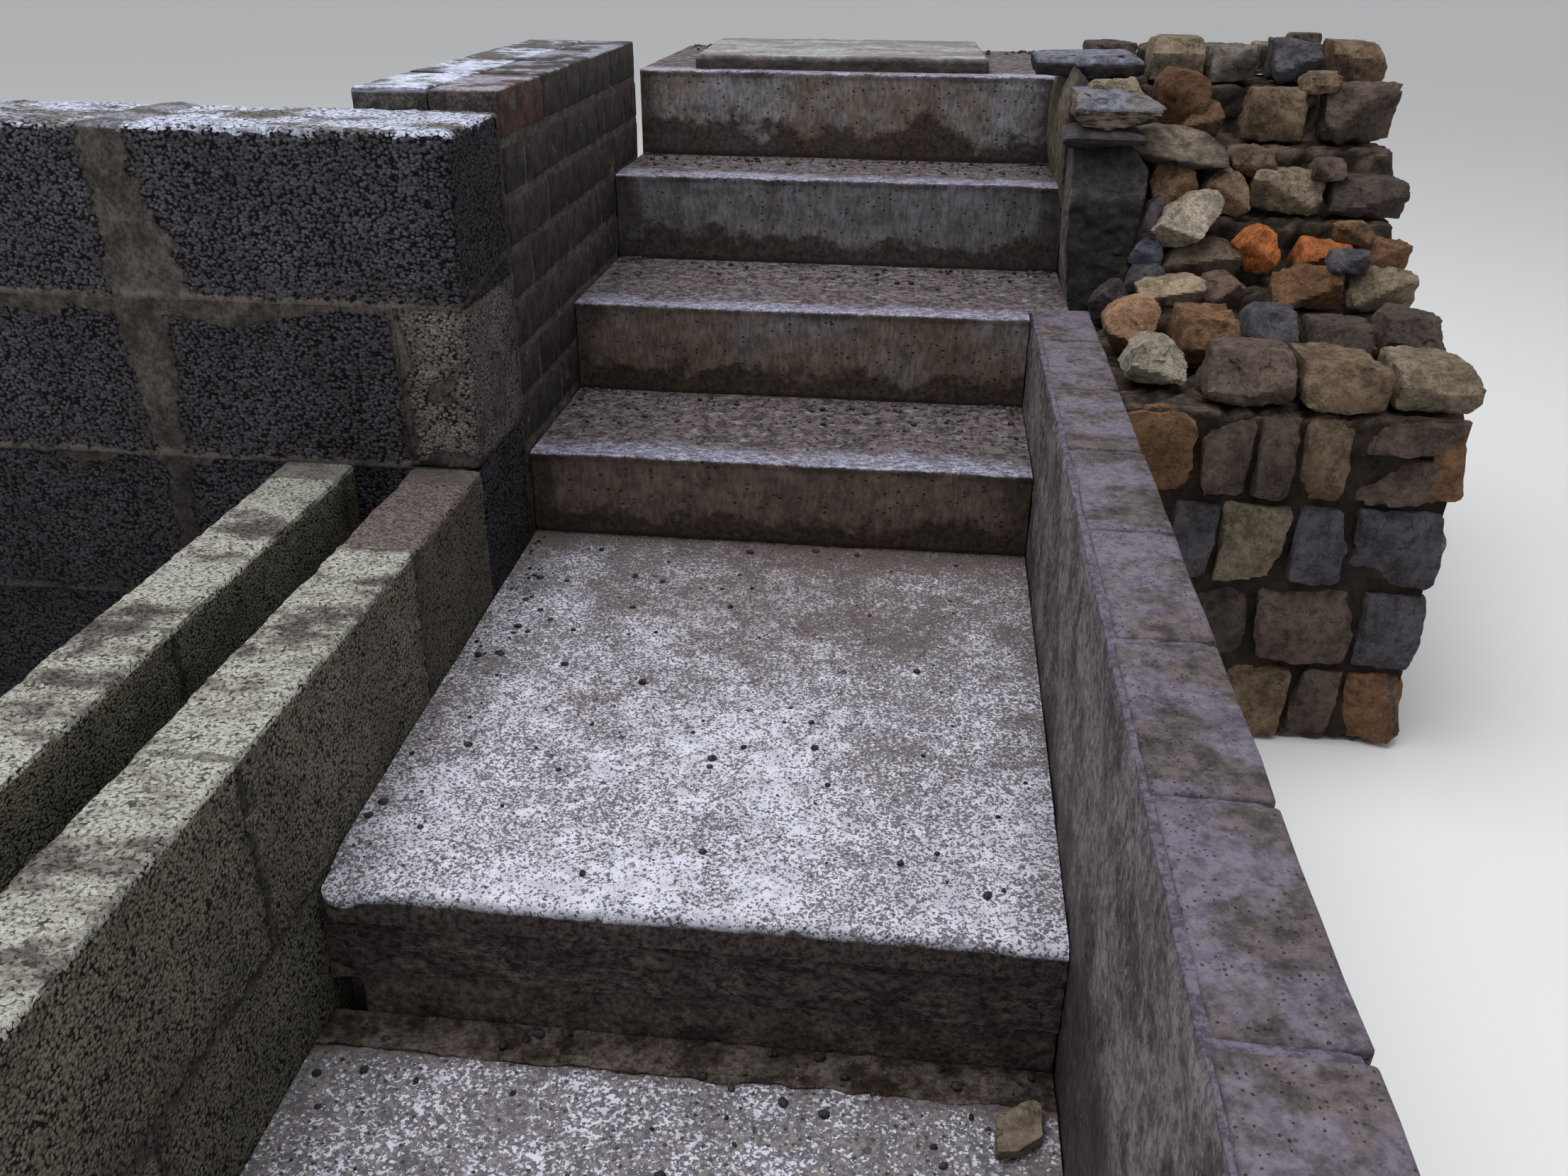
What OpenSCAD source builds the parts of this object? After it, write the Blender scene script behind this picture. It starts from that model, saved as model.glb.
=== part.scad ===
// Outdoor steps of cast concrete between low walls of block, brick and rubble stone.
// Millimetres. The plan is drawn from the corner where the block wall's front face meets the
// left side of the steps: +X to the right, +Y up the flight, +Z up from the ground.
// The whole part is then moved so that its origin is the bottom centre of its box.

/* [Flight] */
// Clear width of the lower steps, between the left wall and the kerb wall
flight_w = 775; // [700:1:840]
// Clear width of the two upper steps, between the brick wall and the slate slab
upper_w = 845; // [780:1:950]
// Thickness of the bottom slab
bottom_slab_t = 100; // [60:1:150]
// Depth of the bottom slab in front of the landing
bottom_slab_run = 600; // [300:5:900]
// Rise from the bottom slab to the landing's front edge
landing_rise = 163; // [130:1:190]
// Fall of the landing towards its front edge
landing_fall = 28; // [0:1:40]
// Depth of the landing, from its front edge to the first step
landing_going = 856; // [600:1:1000]
// Thickness of the landing at its front edge, with its topping
landing_t = 108; // [80:1:130]
// Thickness of the topping on the landing slab
landing_topping_t = 38; // [20:1:60]
// Radius of the landing's worn front left corner
landing_corner_r = 24; // [10:1:90]
// Radius of the landing's worn front edge
landing_nose_r = 9; // [3:1:20]
// Set-back of the rough base under the landing slab
landing_base_set_back = 5; // [2:1:15]
// Width of the broken pocket at the base's left end
pocket_w = 28; // [15:1:60]
// Height of the broken pocket
pocket_h = 34; // [15:1:50]
// Depth of the broken pocket
pocket_d = 40; // [15:1:80]
// Width of the mortar strip between the bottom slab and the landing's base
toe_strip_w = 42; // [20:1:70]
// Drop of the mortar strip below the bottom slab
toe_strip_drop = 3; // [1:1:10]
// Rise of the first step above the landing
rise_1 = 135; // [110:1:170]
// Rise of the second step
rise_2 = 154; // [120:1:190]
// Rise of the third step
rise_3 = 158; // [120:1:190]
// Rise of the last step
rise_4 = 164; // [120:1:190]
// Depth of the first step
going_1 = 318; // [250:1:350]
// Depth of the second step
going_2 = 349; // [300:1:400]
// Depth of the third step
going_3 = 255; // [220:1:350]
// Depth of the top landing
going_4 = 610; // [400:5:900]
// Thickness of the topping that forms each tread
tread_t = 25; // [15:1:40]
// Overhang of each tread in front of its riser
tread_lip = 4; // [1:1:12]
// Radius of each tread's worn front edge
tread_nose_r = 5; // [2:1:12]
// Distance from the block wall's front face back to the first riser
first_riser_y = 226; // [200:1:260]

/* [Paving flag] */
// Length of the loose flag, across the flight
flag_l = 598; // [400:1:700]
// Depth of the loose flag
flag_d = 470; // [300:1:520]
// Thickness of the loose flag
flag_t = 28; // [20:1:50]
// Set-back of the flag from the last tread's front edge
flag_set_back = 34; // [25:1:60]
// Distance of the flag from the left side of the flight
flag_x = 106; // [60:1:160]
// Turn of the flag on the landing, in degrees
flag_turn = 2; // [0:0.5:3]

/* [Block wall] */
// Length of one block
block_l = 440; // [390:1:500]
// Height of one block
block_h = 215; // [190:1:230]
// Thickness of the wall
wall_t = 215; // [140:1:215]
// Thickness of the mortar joints
joint = 10; // [6:1:14]
// Number of blocks in the length of the wall
wall_blocks = 3; // [2:1:6]
// Height of the footing under the walls
footing_h = 31; // [20:1:60]
// Width of the narrow closing block at the wall's end
closer_w = 100; // [80:1:140]

/* [Cavity walls] */
// Thickness of each thin block skin
skin_t = 100; // [80:1:120]
// Width of the open cavity between the skins
cavity_w = 85; // [50:1:120]

/* [Brick wall] */
// Length of one brick
brick_l = 215; // [200:1:230]
// Width of one brick
brick_w = 102.5; // [95:0.5:110]
// Number of stretchers in the length of the brick wall
cheek_bricks = 4; // [3:1:4]
// Height of the brick wall above the block wall
cheek_rise = 27; // [0:1:60]

/* [Kerb wall] */
// Height of the kerb wall above the ground
kerb_h = 590; // [560:1:600]
// Distance of the kerb wall's far end behind the first riser
kerb_past = 358; // [340:1:362]

/* [Slate] */
// Thickness of the slate slab set on edge
slab_t = 22; // [16:1:40]
// Height of the slate slab's crest above the last tread
slab_crest = 45; // [20:1:80]
// Depth of the slate slab in the bank, below its crest
slab_h = 248; // [200:1:320]
// Clearance between the slate slab and the post in front of it
slab_gap = 8; // [2:1:20]
// Distance from the kerb wall's end to the dark post
post_back = 52; // [48:1:80]
// Width of the dark post
post_w = 90; // [60:1:110]
// Depth of the dark post, up the flight
post_d = 126; // [90:1:160]
// Height of the dark post
post_h = 290; // [240:1:320]
// Thickness of the thin slate on the post
thin_slate_t = 12; // [8:1:16]
// Thickness of the slate above it
cap_slate_t = 33; // [24:1:45]
// Thickness of the stone on that slate
cap_stone_t = 33; // [20:1:45]
// Thickness of the slate beside the post's head
leaning_slate_t = 25; // [15:1:40]
// Thickness of the flagstone at the head of the bank
top_flagstone_t = 30; // [20:1:45]

/* [Rubble bank] */
// Width of the bank, from the upper steps to its outer side
bank_w = 555; // [400:1:900]
// Depth of the bank, from its toe to its head
bank_d = 1060; // [900:1:1400]
// Distance from the bank's toe to the kerb wall's end
toe_run = 394; // [300:1:500]
// Drop from the kerb wall's top to the ledge that the post stands on
bench_drop = 34; // [10:1:80]
// Gap between neighbouring stones
stone_gap = 6; // [3:1:20]
// Usual length of the stones that fill out a row
stone_pitch = 116; // [80:1:180]
// Clearance between a stone and what it lies on
bed_gap = 0.3; // [0.2:0.1:0.8]
// Usual length of the stones in the bank's outer faces
facing_pitch = 142; // [90:1:220]
// How far those stones stand proud of the packed mass
facing_proud = 13; // [6:1:20]

/* [Hidden] */
$fn = 48;

course_h = block_h + joint;
courses = 4;
wall_top = footing_h + courses * course_h;
wall_l = wall_blocks * block_l + (wall_blocks - 1) * joint;
cheek_top = wall_top + cheek_rise;
cheek_l = joint + cheek_bricks * brick_l + (cheek_bricks - 1) * joint;

landing_y = first_riser_y - landing_going;
front_y = landing_y - bottom_slab_run;
riser_ys = [
    first_riser_y,
    first_riser_y + going_1,
    first_riser_y + going_1 + going_2,
    first_riser_y + going_1 + going_2 + going_3,
    first_riser_y + going_1 + going_2 + going_3 + going_4
];
landing_front_z = bottom_slab_t + landing_rise;
landing_back_z = landing_front_z + landing_fall;
tread_zs = [
    landing_back_z + rise_1,
    landing_back_z + rise_1 + rise_2,
    landing_back_z + rise_1 + rise_2 + rise_3,
    landing_back_z + rise_1 + rise_2 + rise_3 + rise_4
];
back_y = riser_ys[4];

kerb_end_y = first_riser_y + kerb_past;
kerb_outer_x = flight_w + brick_w;

// The bank is laid out from the kerb wall's end and the side of the upper steps
bench_h = kerb_h - bench_drop;
bank_y = kerb_end_y - toe_run;
bank_end_x = upper_w + bank_w;
bank_end_y = bank_y + bank_d;
// Ledges from the toe to the head: front edge from the kerb's end, height above the bench
ledges = [
    [-toe_run, -11],
    [-49, 49],
    [31, 69],
    [116, 169],
    [216, 274],
    [346, 359]
];
function ledge_y(n) = kerb_end_y + ledges[n][0];
function ledge_z(n) = bench_h + ledges[n][1];
function ledge_mid(n) = (ledge_y(n) + ledge_y(n + 1)) / 2;
// The toe's and the head's ledges are deep enough for two lines of stones
toe_mid = (bank_y + ledge_y(1)) / 2;
toe_d = (ledge_y(1) - bank_y) / 2 - stone_gap;
head_mid = (ledge_y(5) + bank_end_y) / 2;
head_d = (bank_end_y - ledge_y(5)) / 2 - stone_gap;

post_y = kerb_end_y + post_back;
post_end_y = post_y + post_d;
post_top = bench_h + post_h;
inner_x = max(upper_w + post_w + 5, kerb_outer_x);
slab_y = post_end_y + slab_gap;
slab_end_y = riser_ys[3] - slab_gap;
slab_top = tread_zs[3] + slab_crest;
slab_foot = slab_top - slab_h;
slate_bed_h = 86;
flat_stone_h = 62;
cap_slate_z = post_top + thin_slate_t + 2 * bed_gap;
cap_stone_z = cap_slate_z + cap_slate_t + bed_gap;

// Joints between the stones of the bank's outer faces, and the share of each that its face takes
facing_gap = 7;
facing_taper = 0.74;
toe_courses = max(2, round(ledge_z(0) / facing_pitch));

site_x = (bank_end_x - wall_l) / 2;
site_y = (front_y + back_y) / 2;

// Moves the plan so that the origin is the bottom centre of the whole part
module site() {
    translate([-site_x, -site_y, 0])
        children();
}

// Block from its lowest corner to its highest corner
module span(low, high) {
    translate(low)
        cube([high[0] - low[0], high[1] - low[1], high[2] - low[2]]);
}

// Outline in the Y-Z plane, carried across X
module across(x0, x1, outline) {
    translate([x0, 0, 0])
        rotate([90, 0, 90])
            linear_extrude(height = x1 - x0)
                polygon(outline);
}

// What a worn straight front edge has lost: the edge runs along X at y and z
module nose_cut(x0, x1, y, z, r) {
    translate([x0, y, z])
        difference() {
            translate([-1, -1, -r])
                cube([x1 - x0 + 2, r + 1, r + 1]);
            translate([-2, r, -r])
                rotate([0, 90, 0])
                    cylinder(h = x1 - x0 + 4, r = r);
        }
}

module bottom_slab() {
    color([0.62, 0.61, 0.59])
        site()
            span([0, front_y, 0], [flight_w, landing_y - toe_strip_w, bottom_slab_t]);
}

module toe_strip() {
    color([0.42, 0.38, 0.35])
        site()
            span(
                [0, landing_y - toe_strip_w, 0],
                [flight_w, landing_y + landing_base_set_back, bottom_slab_t - toe_strip_drop]
            );
}

module landing_base() {
    y = landing_y + landing_base_set_back;
    foot = bottom_slab_t - toe_strip_drop;
    color([0.30, 0.27, 0.25])
        site()
            difference() {
                span([0, y, 0], [flight_w, first_riser_y, landing_front_z - landing_t]);
                span([-1, y - 1, foot], [pocket_w, y + pocket_d, foot + pocket_h]);
            }
}

// Layer of the landing between two depths below its falling surface
module landing_layer(top, under) {
    difference() {
        across(0, flight_w, [
            [landing_y, landing_front_z - under],
            [first_riser_y, landing_front_z - under],
            [first_riser_y, landing_back_z - top],
            [landing_y, landing_front_z - top]
        ]);
        corner_cut(landing_corner_r, landing_front_z - under - 1, landing_back_z + 1);
    }
}

// What the worn front left corner has lost, in plan
module corner_cut(r, low, high) {
    translate([0, landing_y, low])
        difference() {
            translate([-1, -1, 0])
                cube([r + 1, r + 1, high - low]);
            translate([r, r, -1])
                cylinder(h = high - low + 2, r = r);
        }
}

module landing_slab() {
    color([0.34, 0.31, 0.29])
        site()
            landing_layer(landing_topping_t, landing_t);
}

module landing_topping() {
    color([0.66, 0.65, 0.63])
        site()
            difference() {
                across(0, flight_w, [
                    [landing_y, landing_front_z - landing_topping_t],
                    [first_riser_y, landing_back_z - landing_topping_t],
                    [first_riser_y, landing_back_z],
                    [landing_y, landing_front_z]
                ]);
                corner_cut(landing_corner_r, landing_front_z - landing_t, landing_back_z + 1);
                nose_cut(0, flight_w, landing_y, landing_front_z, landing_nose_r);
            }
}

// Plan of a step: the part behind the kerb wall's far end runs on to the slate slab
module step_plan(y0, y1) {
    if (y1 <= kerb_end_y) {
        translate([0, y0])
            square([flight_w, y1 - y0]);
    } else if (y0 >= kerb_end_y) {
        translate([0, y0])
            square([upper_w, y1 - y0]);
    } else {
        polygon([
            [0, y0], [flight_w, y0], [flight_w, kerb_end_y],
            [upper_w, kerb_end_y], [upper_w, y1], [0, y1]
        ]);
    }
}

module step_body(n) {
    color([0.36, 0.33, 0.31])
        site()
            linear_extrude(height = tread_zs[n] - tread_t)
                step_plan(riser_ys[n], riser_ys[n + 1]);
}

module step_tread(n) {
    color([0.45, 0.41, 0.40])
        site()
            difference() {
                translate([0, 0, tread_zs[n] - tread_t])
                    linear_extrude(height = tread_t)
                        step_plan(riser_ys[n] - tread_lip, riser_ys[n + 1]);
                nose_cut(0, upper_w, riser_ys[n] - tread_lip, tread_zs[n], tread_nose_r);
            }
}

module step_1_body() {
    step_body(0);
}

module step_1_tread() {
    step_tread(0);
}

module step_2_body() {
    step_body(1);
}

module step_2_tread() {
    step_tread(1);
}

module step_3_body() {
    step_body(2);
}

module step_3_tread() {
    step_tread(2);
}

module step_4_body() {
    step_body(3);
}

module top_landing() {
    step_tread(3);
}

module paving_flag() {
    color([0.47, 0.45, 0.41])
        site()
            translate([flag_x, riser_ys[3] - tread_lip + flag_set_back, tread_zs[3]])
                rotate([0, 0, flag_turn])
                    difference() {
                        cube([flag_l, flag_d, flag_t]);
                        nose_cut(0, flag_l, 0, flag_t, flag_t / 2);
                    }
}

module block_wall_footing() {
    color([0.33, 0.31, 0.30])
        site()
            span([-wall_l, 0, 0], [0, wall_t, footing_h]);
}

// One course of the block wall with its bed joint, counted from the ground
module wall_course(n, end_x) {
    low = footing_h + n * course_h;
    color([0.22, 0.22, 0.23])
        site()
            span([-wall_l, 0, low], [end_x, wall_t, low + course_h]);
}

module block_wall_course_1() {
    wall_course(0, 0);
}

module block_wall_course_2() {
    wall_course(1, 0);
}

module block_wall_course_3() {
    wall_course(2, -closer_w);
}

module block_wall_course_4() {
    wall_course(3, 0);
}

module closer_block() {
    low = footing_h + 2 * course_h;
    color([0.38, 0.35, 0.33])
        site()
            span([-closer_w, 0, low], [0, wall_t, low + course_h]);
}

module cheek_wall_front_leaf() {
    color([0.35, 0.33, 0.33])
        site()
            span([-brick_w, wall_t, 0], [0, wall_t + cheek_l, cheek_top]);
}

module cheek_wall_back_leaf() {
    color([0.42, 0.40, 0.39])
        site()
            span([-2 * brick_w - joint, wall_t, 0], [-brick_w, wall_t + cheek_l, cheek_top]);
}

module skin_footing() {
    color([0.33, 0.31, 0.30])
        site()
            span([-2 * skin_t - cavity_w, front_y, 0], [0, 0, footing_h]);
}

// One course of a thin block skin with its bed joint
module skin_course(x1, n) {
    low = footing_h + n * course_h;
    color([0.48, 0.47, 0.43])
        site()
            span([x1 - skin_t, front_y, low], [x1, 0, low + course_h]);
}

module inner_skin_lower() {
    skin_course(0, 0);
}

module inner_skin_upper() {
    skin_course(0, 1);
}

module outer_skin_lower() {
    skin_course(-skin_t - cavity_w, 0);
}

module outer_skin_upper() {
    skin_course(-skin_t - cavity_w, 1);
}

module kerb_wall() {
    color([0.36, 0.31, 0.32])
        site()
            span([flight_w, front_y, 0], [kerb_outer_x, kerb_end_y, kerb_h]);
}

module upright_slab() {
    top = slab_top;
    tail = min(top - 42, ledge_z(5) - bed_gap);
    color([0.50, 0.48, 0.46])
        site()
            across(upper_w, upper_w + slab_t, [
                [slab_y, slab_foot], [slab_end_y, slab_foot], [slab_end_y, tail],
                [ledge_y(5), tail], [slab_y + 135, top - 9], [slab_y + 90, top],
                [slab_y + 30, top - 4], [slab_y + 2, top - 45]
            ]);
}

module upright_post() {
    color([0.26, 0.25, 0.28])
        site()
            across(upper_w, upper_w + post_w, [
                [post_y, bench_h], [post_end_y, bench_h], [post_end_y, post_top],
                [post_y + 14, post_top], [post_y + 4, post_top - 16]
            ]);
}

// Irregular plan of a split slate inside l by d, the same for the same seed
function slate_plan(l, d, seed, n = 11) =
    let (r = rands(0.84, 1, n, seed))
    [for (i = [0:n - 1])
        let (a = 360 * i / n, c = cos(a), s = sin(a), k = pow(pow(abs(c), 4) + pow(abs(s), 4), -0.25))
        [l / 2 * r[i] * k * c, d / 2 * r[i] * k * s]];

module slate(at, l, d, t, seed) {
    translate(at)
        linear_extrude(height = t)
            polygon(slate_plan(l, d, seed));
}

module cap_slate_lower() {
    color([0.40, 0.40, 0.41])
        site()
            slate([upper_w + 47, post_y + 52, post_top + bed_gap], 108, 140, thin_slate_t, 21);
}

module cap_slate_upper() {
    color([0.48, 0.47, 0.46])
        site()
            slate([upper_w + 69, post_y + 78, cap_slate_z], 146, 132, cap_slate_t, 34);
}

module cap_stone() {
    color([0.58, 0.56, 0.53])
        site()
            translate([upper_w + 51, post_y + 102, cap_stone_z])
                rough_stone(78, 62, cap_stone_t, 7);
}

module leaning_slate() {
    color([0.43, 0.42, 0.42])
        site()
            slate(
                [inner_x + 83, ledge_mid(3), ledge_z(3) + slate_bed_h + 2 * bed_gap],
                144, 92, leaning_slate_t, 61
            );
}

module top_flagstone() {
    color([0.45, 0.45, 0.46])
        site()
            slate(
                [upper_w + 47, ledge_y(5) + head_d / 2 + 4, ledge_z(5) + bed_gap],
                152, head_d - 6, top_flagstone_t, 52
            );
}

// Corner of a rough stone, on the ring at one level
function ring_corner(l, d, h, share, level, angle, noise) =
    let (
        c = cos(angle), s = sin(angle),
        k = pow(pow(abs(c), 4) + pow(abs(s), 4), -0.25)
    )
    [l / 2 * share * noise * k * c, d / 2 * share * noise * k * s, h * level];

// Rough stone inside a box l by d by h, with a flat bed and a flat head
module rough_stone(l, d, h, seed) {
    sides = 9;
    rings = 4;
    shares = [0.84, 0.98, 0.94, 0.62];
    draws = rands(0.82, 1, rings * sides + 2, seed);
    low = 0.16 + 0.6 * (draws[rings * sides] - 0.82);
    high = 0.62 + 0.6 * (draws[rings * sides + 1] - 0.82);
    levels = [0, low, high, 1];
    corners = [for (ring = [0:rings - 1], i = [0:sides - 1])
        ring_corner(l, d, h, shares[ring], levels[ring], 360 * (i + 0.5 * (ring % 2)) / sides,
            draws[ring * sides + i])];
    bed = [for (i = [0:sides - 1]) i];
    head = [for (i = [sides - 1:-1:0]) (rings - 1) * sides + i];
    skin = [for (ring = [0:rings - 2], i = [0:sides - 1], half = [0, 1])
        let (
            a = ring * sides + i,
            b = ring * sides + (i + 1) % sides,
            even = ring % 2 == 0
        )
        half == 0
            ? [a, a + sides, even ? b : b + sides]
            : [even ? b : a, even ? a + sides : b + sides, even ? b + sides : b]];
    polyhedron(points = corners, faces = concat([bed], [head], skin));
}

// Stones that fill out a row from x0 to the bank's outer side: plan centre, bed, size, seed
function fillers(x0, y, bed, d, h, seed) =
    let (
        n = max(1, round((bank_end_x - x0) / stone_pitch)),
        w = (bank_end_x - x0) / n,
        k = rands(0.74, 1, 2 * n, seed)
    )
    [for (i = [0:n - 1])
        [x0 + (i + 0.5) * w, y, bed, w - stone_gap, d * k[n + i], h * k[i], seed + i]];

// Face stones, row by row: the stones in view are placed from the kerb wall or the upper steps
stone_rows = [
    concat(
        [
            [kerb_outer_x + 73, ledge_y(1) - 190, ledge_z(0), 104, 110, 62, 11],
            [kerb_outer_x + 62, ledge_y(1) - 60, ledge_z(0), 96, 104, 82, 12]
        ],
        fillers(kerb_outer_x + 128, toe_mid - toe_d / 2 - 2, ledge_z(0), toe_d, 84, 200),
        fillers(kerb_outer_x + 114, toe_mid + toe_d / 2 + 4, ledge_z(0), toe_d - 8, 92, 220)
    ),
    concat(
        [
            [upper_w + 61, kerb_end_y + 27, bench_h, 62, 42, 56, 21],
            [inner_x + 48, ledge_mid(1), ledge_z(1), 80, 70, 36, 22]
        ],
        fillers(inner_x + 92, ledge_mid(1), ledge_z(1), 72, 88, 240)
    ),
    concat(
        [
            [inner_x + 29, ledge_mid(2), ledge_z(2), 50, 76, 118, 31],
            [inner_x + 117, ledge_mid(2), ledge_z(2), 124, 78, flat_stone_h, 32],
            [inner_x + 117, ledge_mid(2), ledge_z(2) + flat_stone_h + bed_gap, 116, 76, 76, 34],
            [inner_x + 223, ledge_mid(2), ledge_z(2), 80, 76, 90, 33]
        ],
        fillers(inner_x + 267, ledge_mid(2), ledge_z(2), 78, 104, 260)
    ),
    concat(
        [
            [inner_x + 70, ledge_mid(3), ledge_z(3), 92, 92, slate_bed_h, 41],
            [inner_x + 157, ledge_mid(3), ledge_z(3), 74, 88, slate_bed_h - 6, 42]
        ],
        fillers(inner_x + 199, ledge_mid(3), ledge_z(3), 92, 84, 280)
    ),
    concat(
        [[inner_x + 117, ledge_mid(4), ledge_z(4), 120, 116, 108, 51]],
        fillers(inner_x + 183, ledge_mid(4), ledge_z(4), 118, 110, 300)
    ),
    concat(
        fillers(inner_x + 37, ledge_y(5) + head_d / 2 + 4, ledge_z(5), head_d - 8, 76, 320),
        fillers(upper_w + 30, head_mid + head_d / 2 - 2, ledge_z(5), head_d - 8, 62, 340)
    )
];

module stone_row(n, tone) {
    color(tone)
        site()
            for (s = stone_rows[n])
                translate([s[0], s[1], s[2] + bed_gap])
                    rough_stone(s[3], s[4], s[5], s[6]);
}

module rubble_row_1() {
    stone_row(0, [0.46, 0.40, 0.35]);
}

module rubble_row_2() {
    stone_row(1, [0.47, 0.44, 0.40]);
}

module rubble_row_3() {
    stone_row(2, [0.52, 0.49, 0.44]);
}

module rubble_row_4() {
    stone_row(3, [0.45, 0.37, 0.30]);
}

module rubble_row_5() {
    stone_row(4, [0.30, 0.27, 0.26]);
}

module rubble_row_6() {
    stone_row(5, [0.33, 0.29, 0.27]);
}

// Where the joint before stone i of a course falls, from 0 to 1: uneven, so that joints don't line up
function facing_cut(i, count, course) =
    i == 0 ? 0
    : i == count ? 1
    : (i + 0.24 * sin(137 * i + 76 * course)) / count;

// One course of proud stones along a wall face that looks towards -Y
module facing_course(length, z, top, course) {
    count = max(1, round(length / facing_pitch));
    for (i = [0:count - 1]) {
        a = facing_cut(i, count, course) * length;
        b = facing_cut(i + 1, count, course) * length;
        translate([(a + b) / 2, facing_proud + 1, (z + top) / 2])
            rotate([90, 0, 0])
                linear_extrude(height = facing_proud + 1, scale = facing_taper)
                    square([b - a - facing_gap, top - z - facing_gap], center = true);
    }
}

// Courses of proud stones from the ground to the head of a face as long as the ledges leave it
module facing(at, turn, length, ledge_starts) {
    translate([at[0], at[1], 0])
        rotate([0, 0, turn]) {
            for (n = [0:toe_courses - 1])
                facing_course(length, ledge_z(0) * n / toe_courses, ledge_z(0) * (n + 1) / toe_courses, n);
            for (n = [1:len(ledge_starts) - 1])
                translate([ledge_starts[n], 0, 0])
                    facing_course(length - ledge_starts[n], ledge_z(n - 1), ledge_z(n), toe_courses + n);
        }
}

// Packed mass behind the face stones: a ledge under each row, down to the ground
module rubble_hearting() {
    side_x = bank_end_x - facing_proud;
    head_y = bank_end_y - facing_proud;
    color([0.24, 0.21, 0.19])
        site()
            union() {
                span([kerb_outer_x, bank_y + facing_proud, 0], [side_x, kerb_end_y, ledge_z(0)]);
                for (n = [1:len(ledges) - 1])
                    span([inner_x, ledge_y(n), 0], [side_x, head_y, ledge_z(n)]);
                span([upper_w, kerb_end_y, 0], [inner_x, post_end_y, bench_h]);
                span([upper_w, post_end_y, 0], [inner_x, slab_end_y, slab_foot]);
                span([upper_w + slab_t, slab_y, 0], [inner_x, head_y, ledge_z(4)]);
                span([upper_w + slab_t, ledge_y(5), 0], [inner_x, head_y, ledge_z(5)]);
                span([upper_w, slab_end_y, 0], [inner_x, head_y, ledge_z(5)]);
                facing([kerb_outer_x, bank_y], 0, bank_end_x - facing_proud - kerb_outer_x, [0]);
                facing([bank_end_x, bank_y + facing_proud], 90, head_y - bank_y - facing_proud,
                       [for (n = [0:5]) n == 0 ? 0 : ledge_y(n) - bank_y - facing_proud]);
                facing([side_x, bank_end_y], 180, side_x - upper_w - slab_t, [for (n = [0:5]) 0]);
            }
}

module loose_stone() {
    color([0.52, 0.49, 0.42])
        site()
            translate([flight_w - 40, landing_y - 84, bottom_slab_t + bed_gap])
                rotate([0, 0, 12])
                    rough_stone(44, 78, 15, 9);
}

bottom_slab();
toe_strip();
landing_base();
landing_slab();
landing_topping();
step_1_body();
step_1_tread();
step_2_body();
step_2_tread();
step_3_body();
step_3_tread();
step_4_body();
top_landing();
paving_flag();
block_wall_footing();
block_wall_course_1();
block_wall_course_2();
block_wall_course_3();
block_wall_course_4();
closer_block();
cheek_wall_front_leaf();
cheek_wall_back_leaf();
skin_footing();
inner_skin_lower();
inner_skin_upper();
outer_skin_lower();
outer_skin_upper();
kerb_wall();
upright_slab();
upright_post();
cap_slate_lower();
cap_slate_upper();
cap_stone();
leaning_slate();
top_flagstone();
rubble_hearting();
rubble_row_1();
rubble_row_2();
rubble_row_3();
rubble_row_4();
rubble_row_5();
rubble_row_6();
loose_stone();
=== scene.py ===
"""Outdoor concrete steps between block, brick and stone walls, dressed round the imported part."""

import math

import bmesh
import bpy
import mathutils.geometry
import numpy as np
from bpy.props import FloatProperty, FloatVectorProperty, PointerProperty
from mathutils import Matrix, Vector, noise


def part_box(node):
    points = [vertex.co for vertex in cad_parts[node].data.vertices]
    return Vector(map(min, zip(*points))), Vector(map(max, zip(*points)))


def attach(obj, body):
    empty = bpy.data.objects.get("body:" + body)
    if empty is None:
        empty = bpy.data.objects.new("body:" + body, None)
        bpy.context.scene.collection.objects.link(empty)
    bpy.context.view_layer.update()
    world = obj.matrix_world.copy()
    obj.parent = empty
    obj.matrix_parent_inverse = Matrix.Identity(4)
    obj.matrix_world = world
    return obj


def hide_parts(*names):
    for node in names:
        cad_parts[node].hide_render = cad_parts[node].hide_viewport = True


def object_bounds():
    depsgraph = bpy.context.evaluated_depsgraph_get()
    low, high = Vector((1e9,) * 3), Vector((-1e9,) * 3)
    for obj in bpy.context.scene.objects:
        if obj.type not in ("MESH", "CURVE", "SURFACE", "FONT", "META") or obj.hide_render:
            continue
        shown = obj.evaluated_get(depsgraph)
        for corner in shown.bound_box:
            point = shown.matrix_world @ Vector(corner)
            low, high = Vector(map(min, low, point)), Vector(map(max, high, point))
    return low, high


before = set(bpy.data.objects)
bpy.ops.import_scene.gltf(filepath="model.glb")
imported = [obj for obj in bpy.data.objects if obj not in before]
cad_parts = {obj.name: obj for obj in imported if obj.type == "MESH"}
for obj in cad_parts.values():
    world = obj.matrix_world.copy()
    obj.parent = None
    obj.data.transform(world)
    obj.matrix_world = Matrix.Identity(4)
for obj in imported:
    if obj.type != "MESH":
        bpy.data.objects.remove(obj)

bl_info = {
    "name": "Outdoor Steps",
    "version": (1, 0, 0),
    "blender": (4, 5, 0),
    "location": "3D View > Sidebar > Steps",
    "description": "Dresses a packed flight of outdoor steps and its side walls",
    "category": "Add Mesh",
}

CAD_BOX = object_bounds()
# The plan's own origin: the corner where the block wall's front face meets the steps
CORNER = Vector((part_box("block_wall_footing")[1].x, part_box("block_wall_footing")[0].y, 0.0))
PHOTO_SIZE = (2212, 1659)


def plan_box(node):
    """Lowest and highest corner of a CAD node, in millimetres on the plan."""
    low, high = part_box(node)
    return np.array((low - CORNER) * 1000.0), np.array((high - CORNER) * 1000.0)


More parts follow.
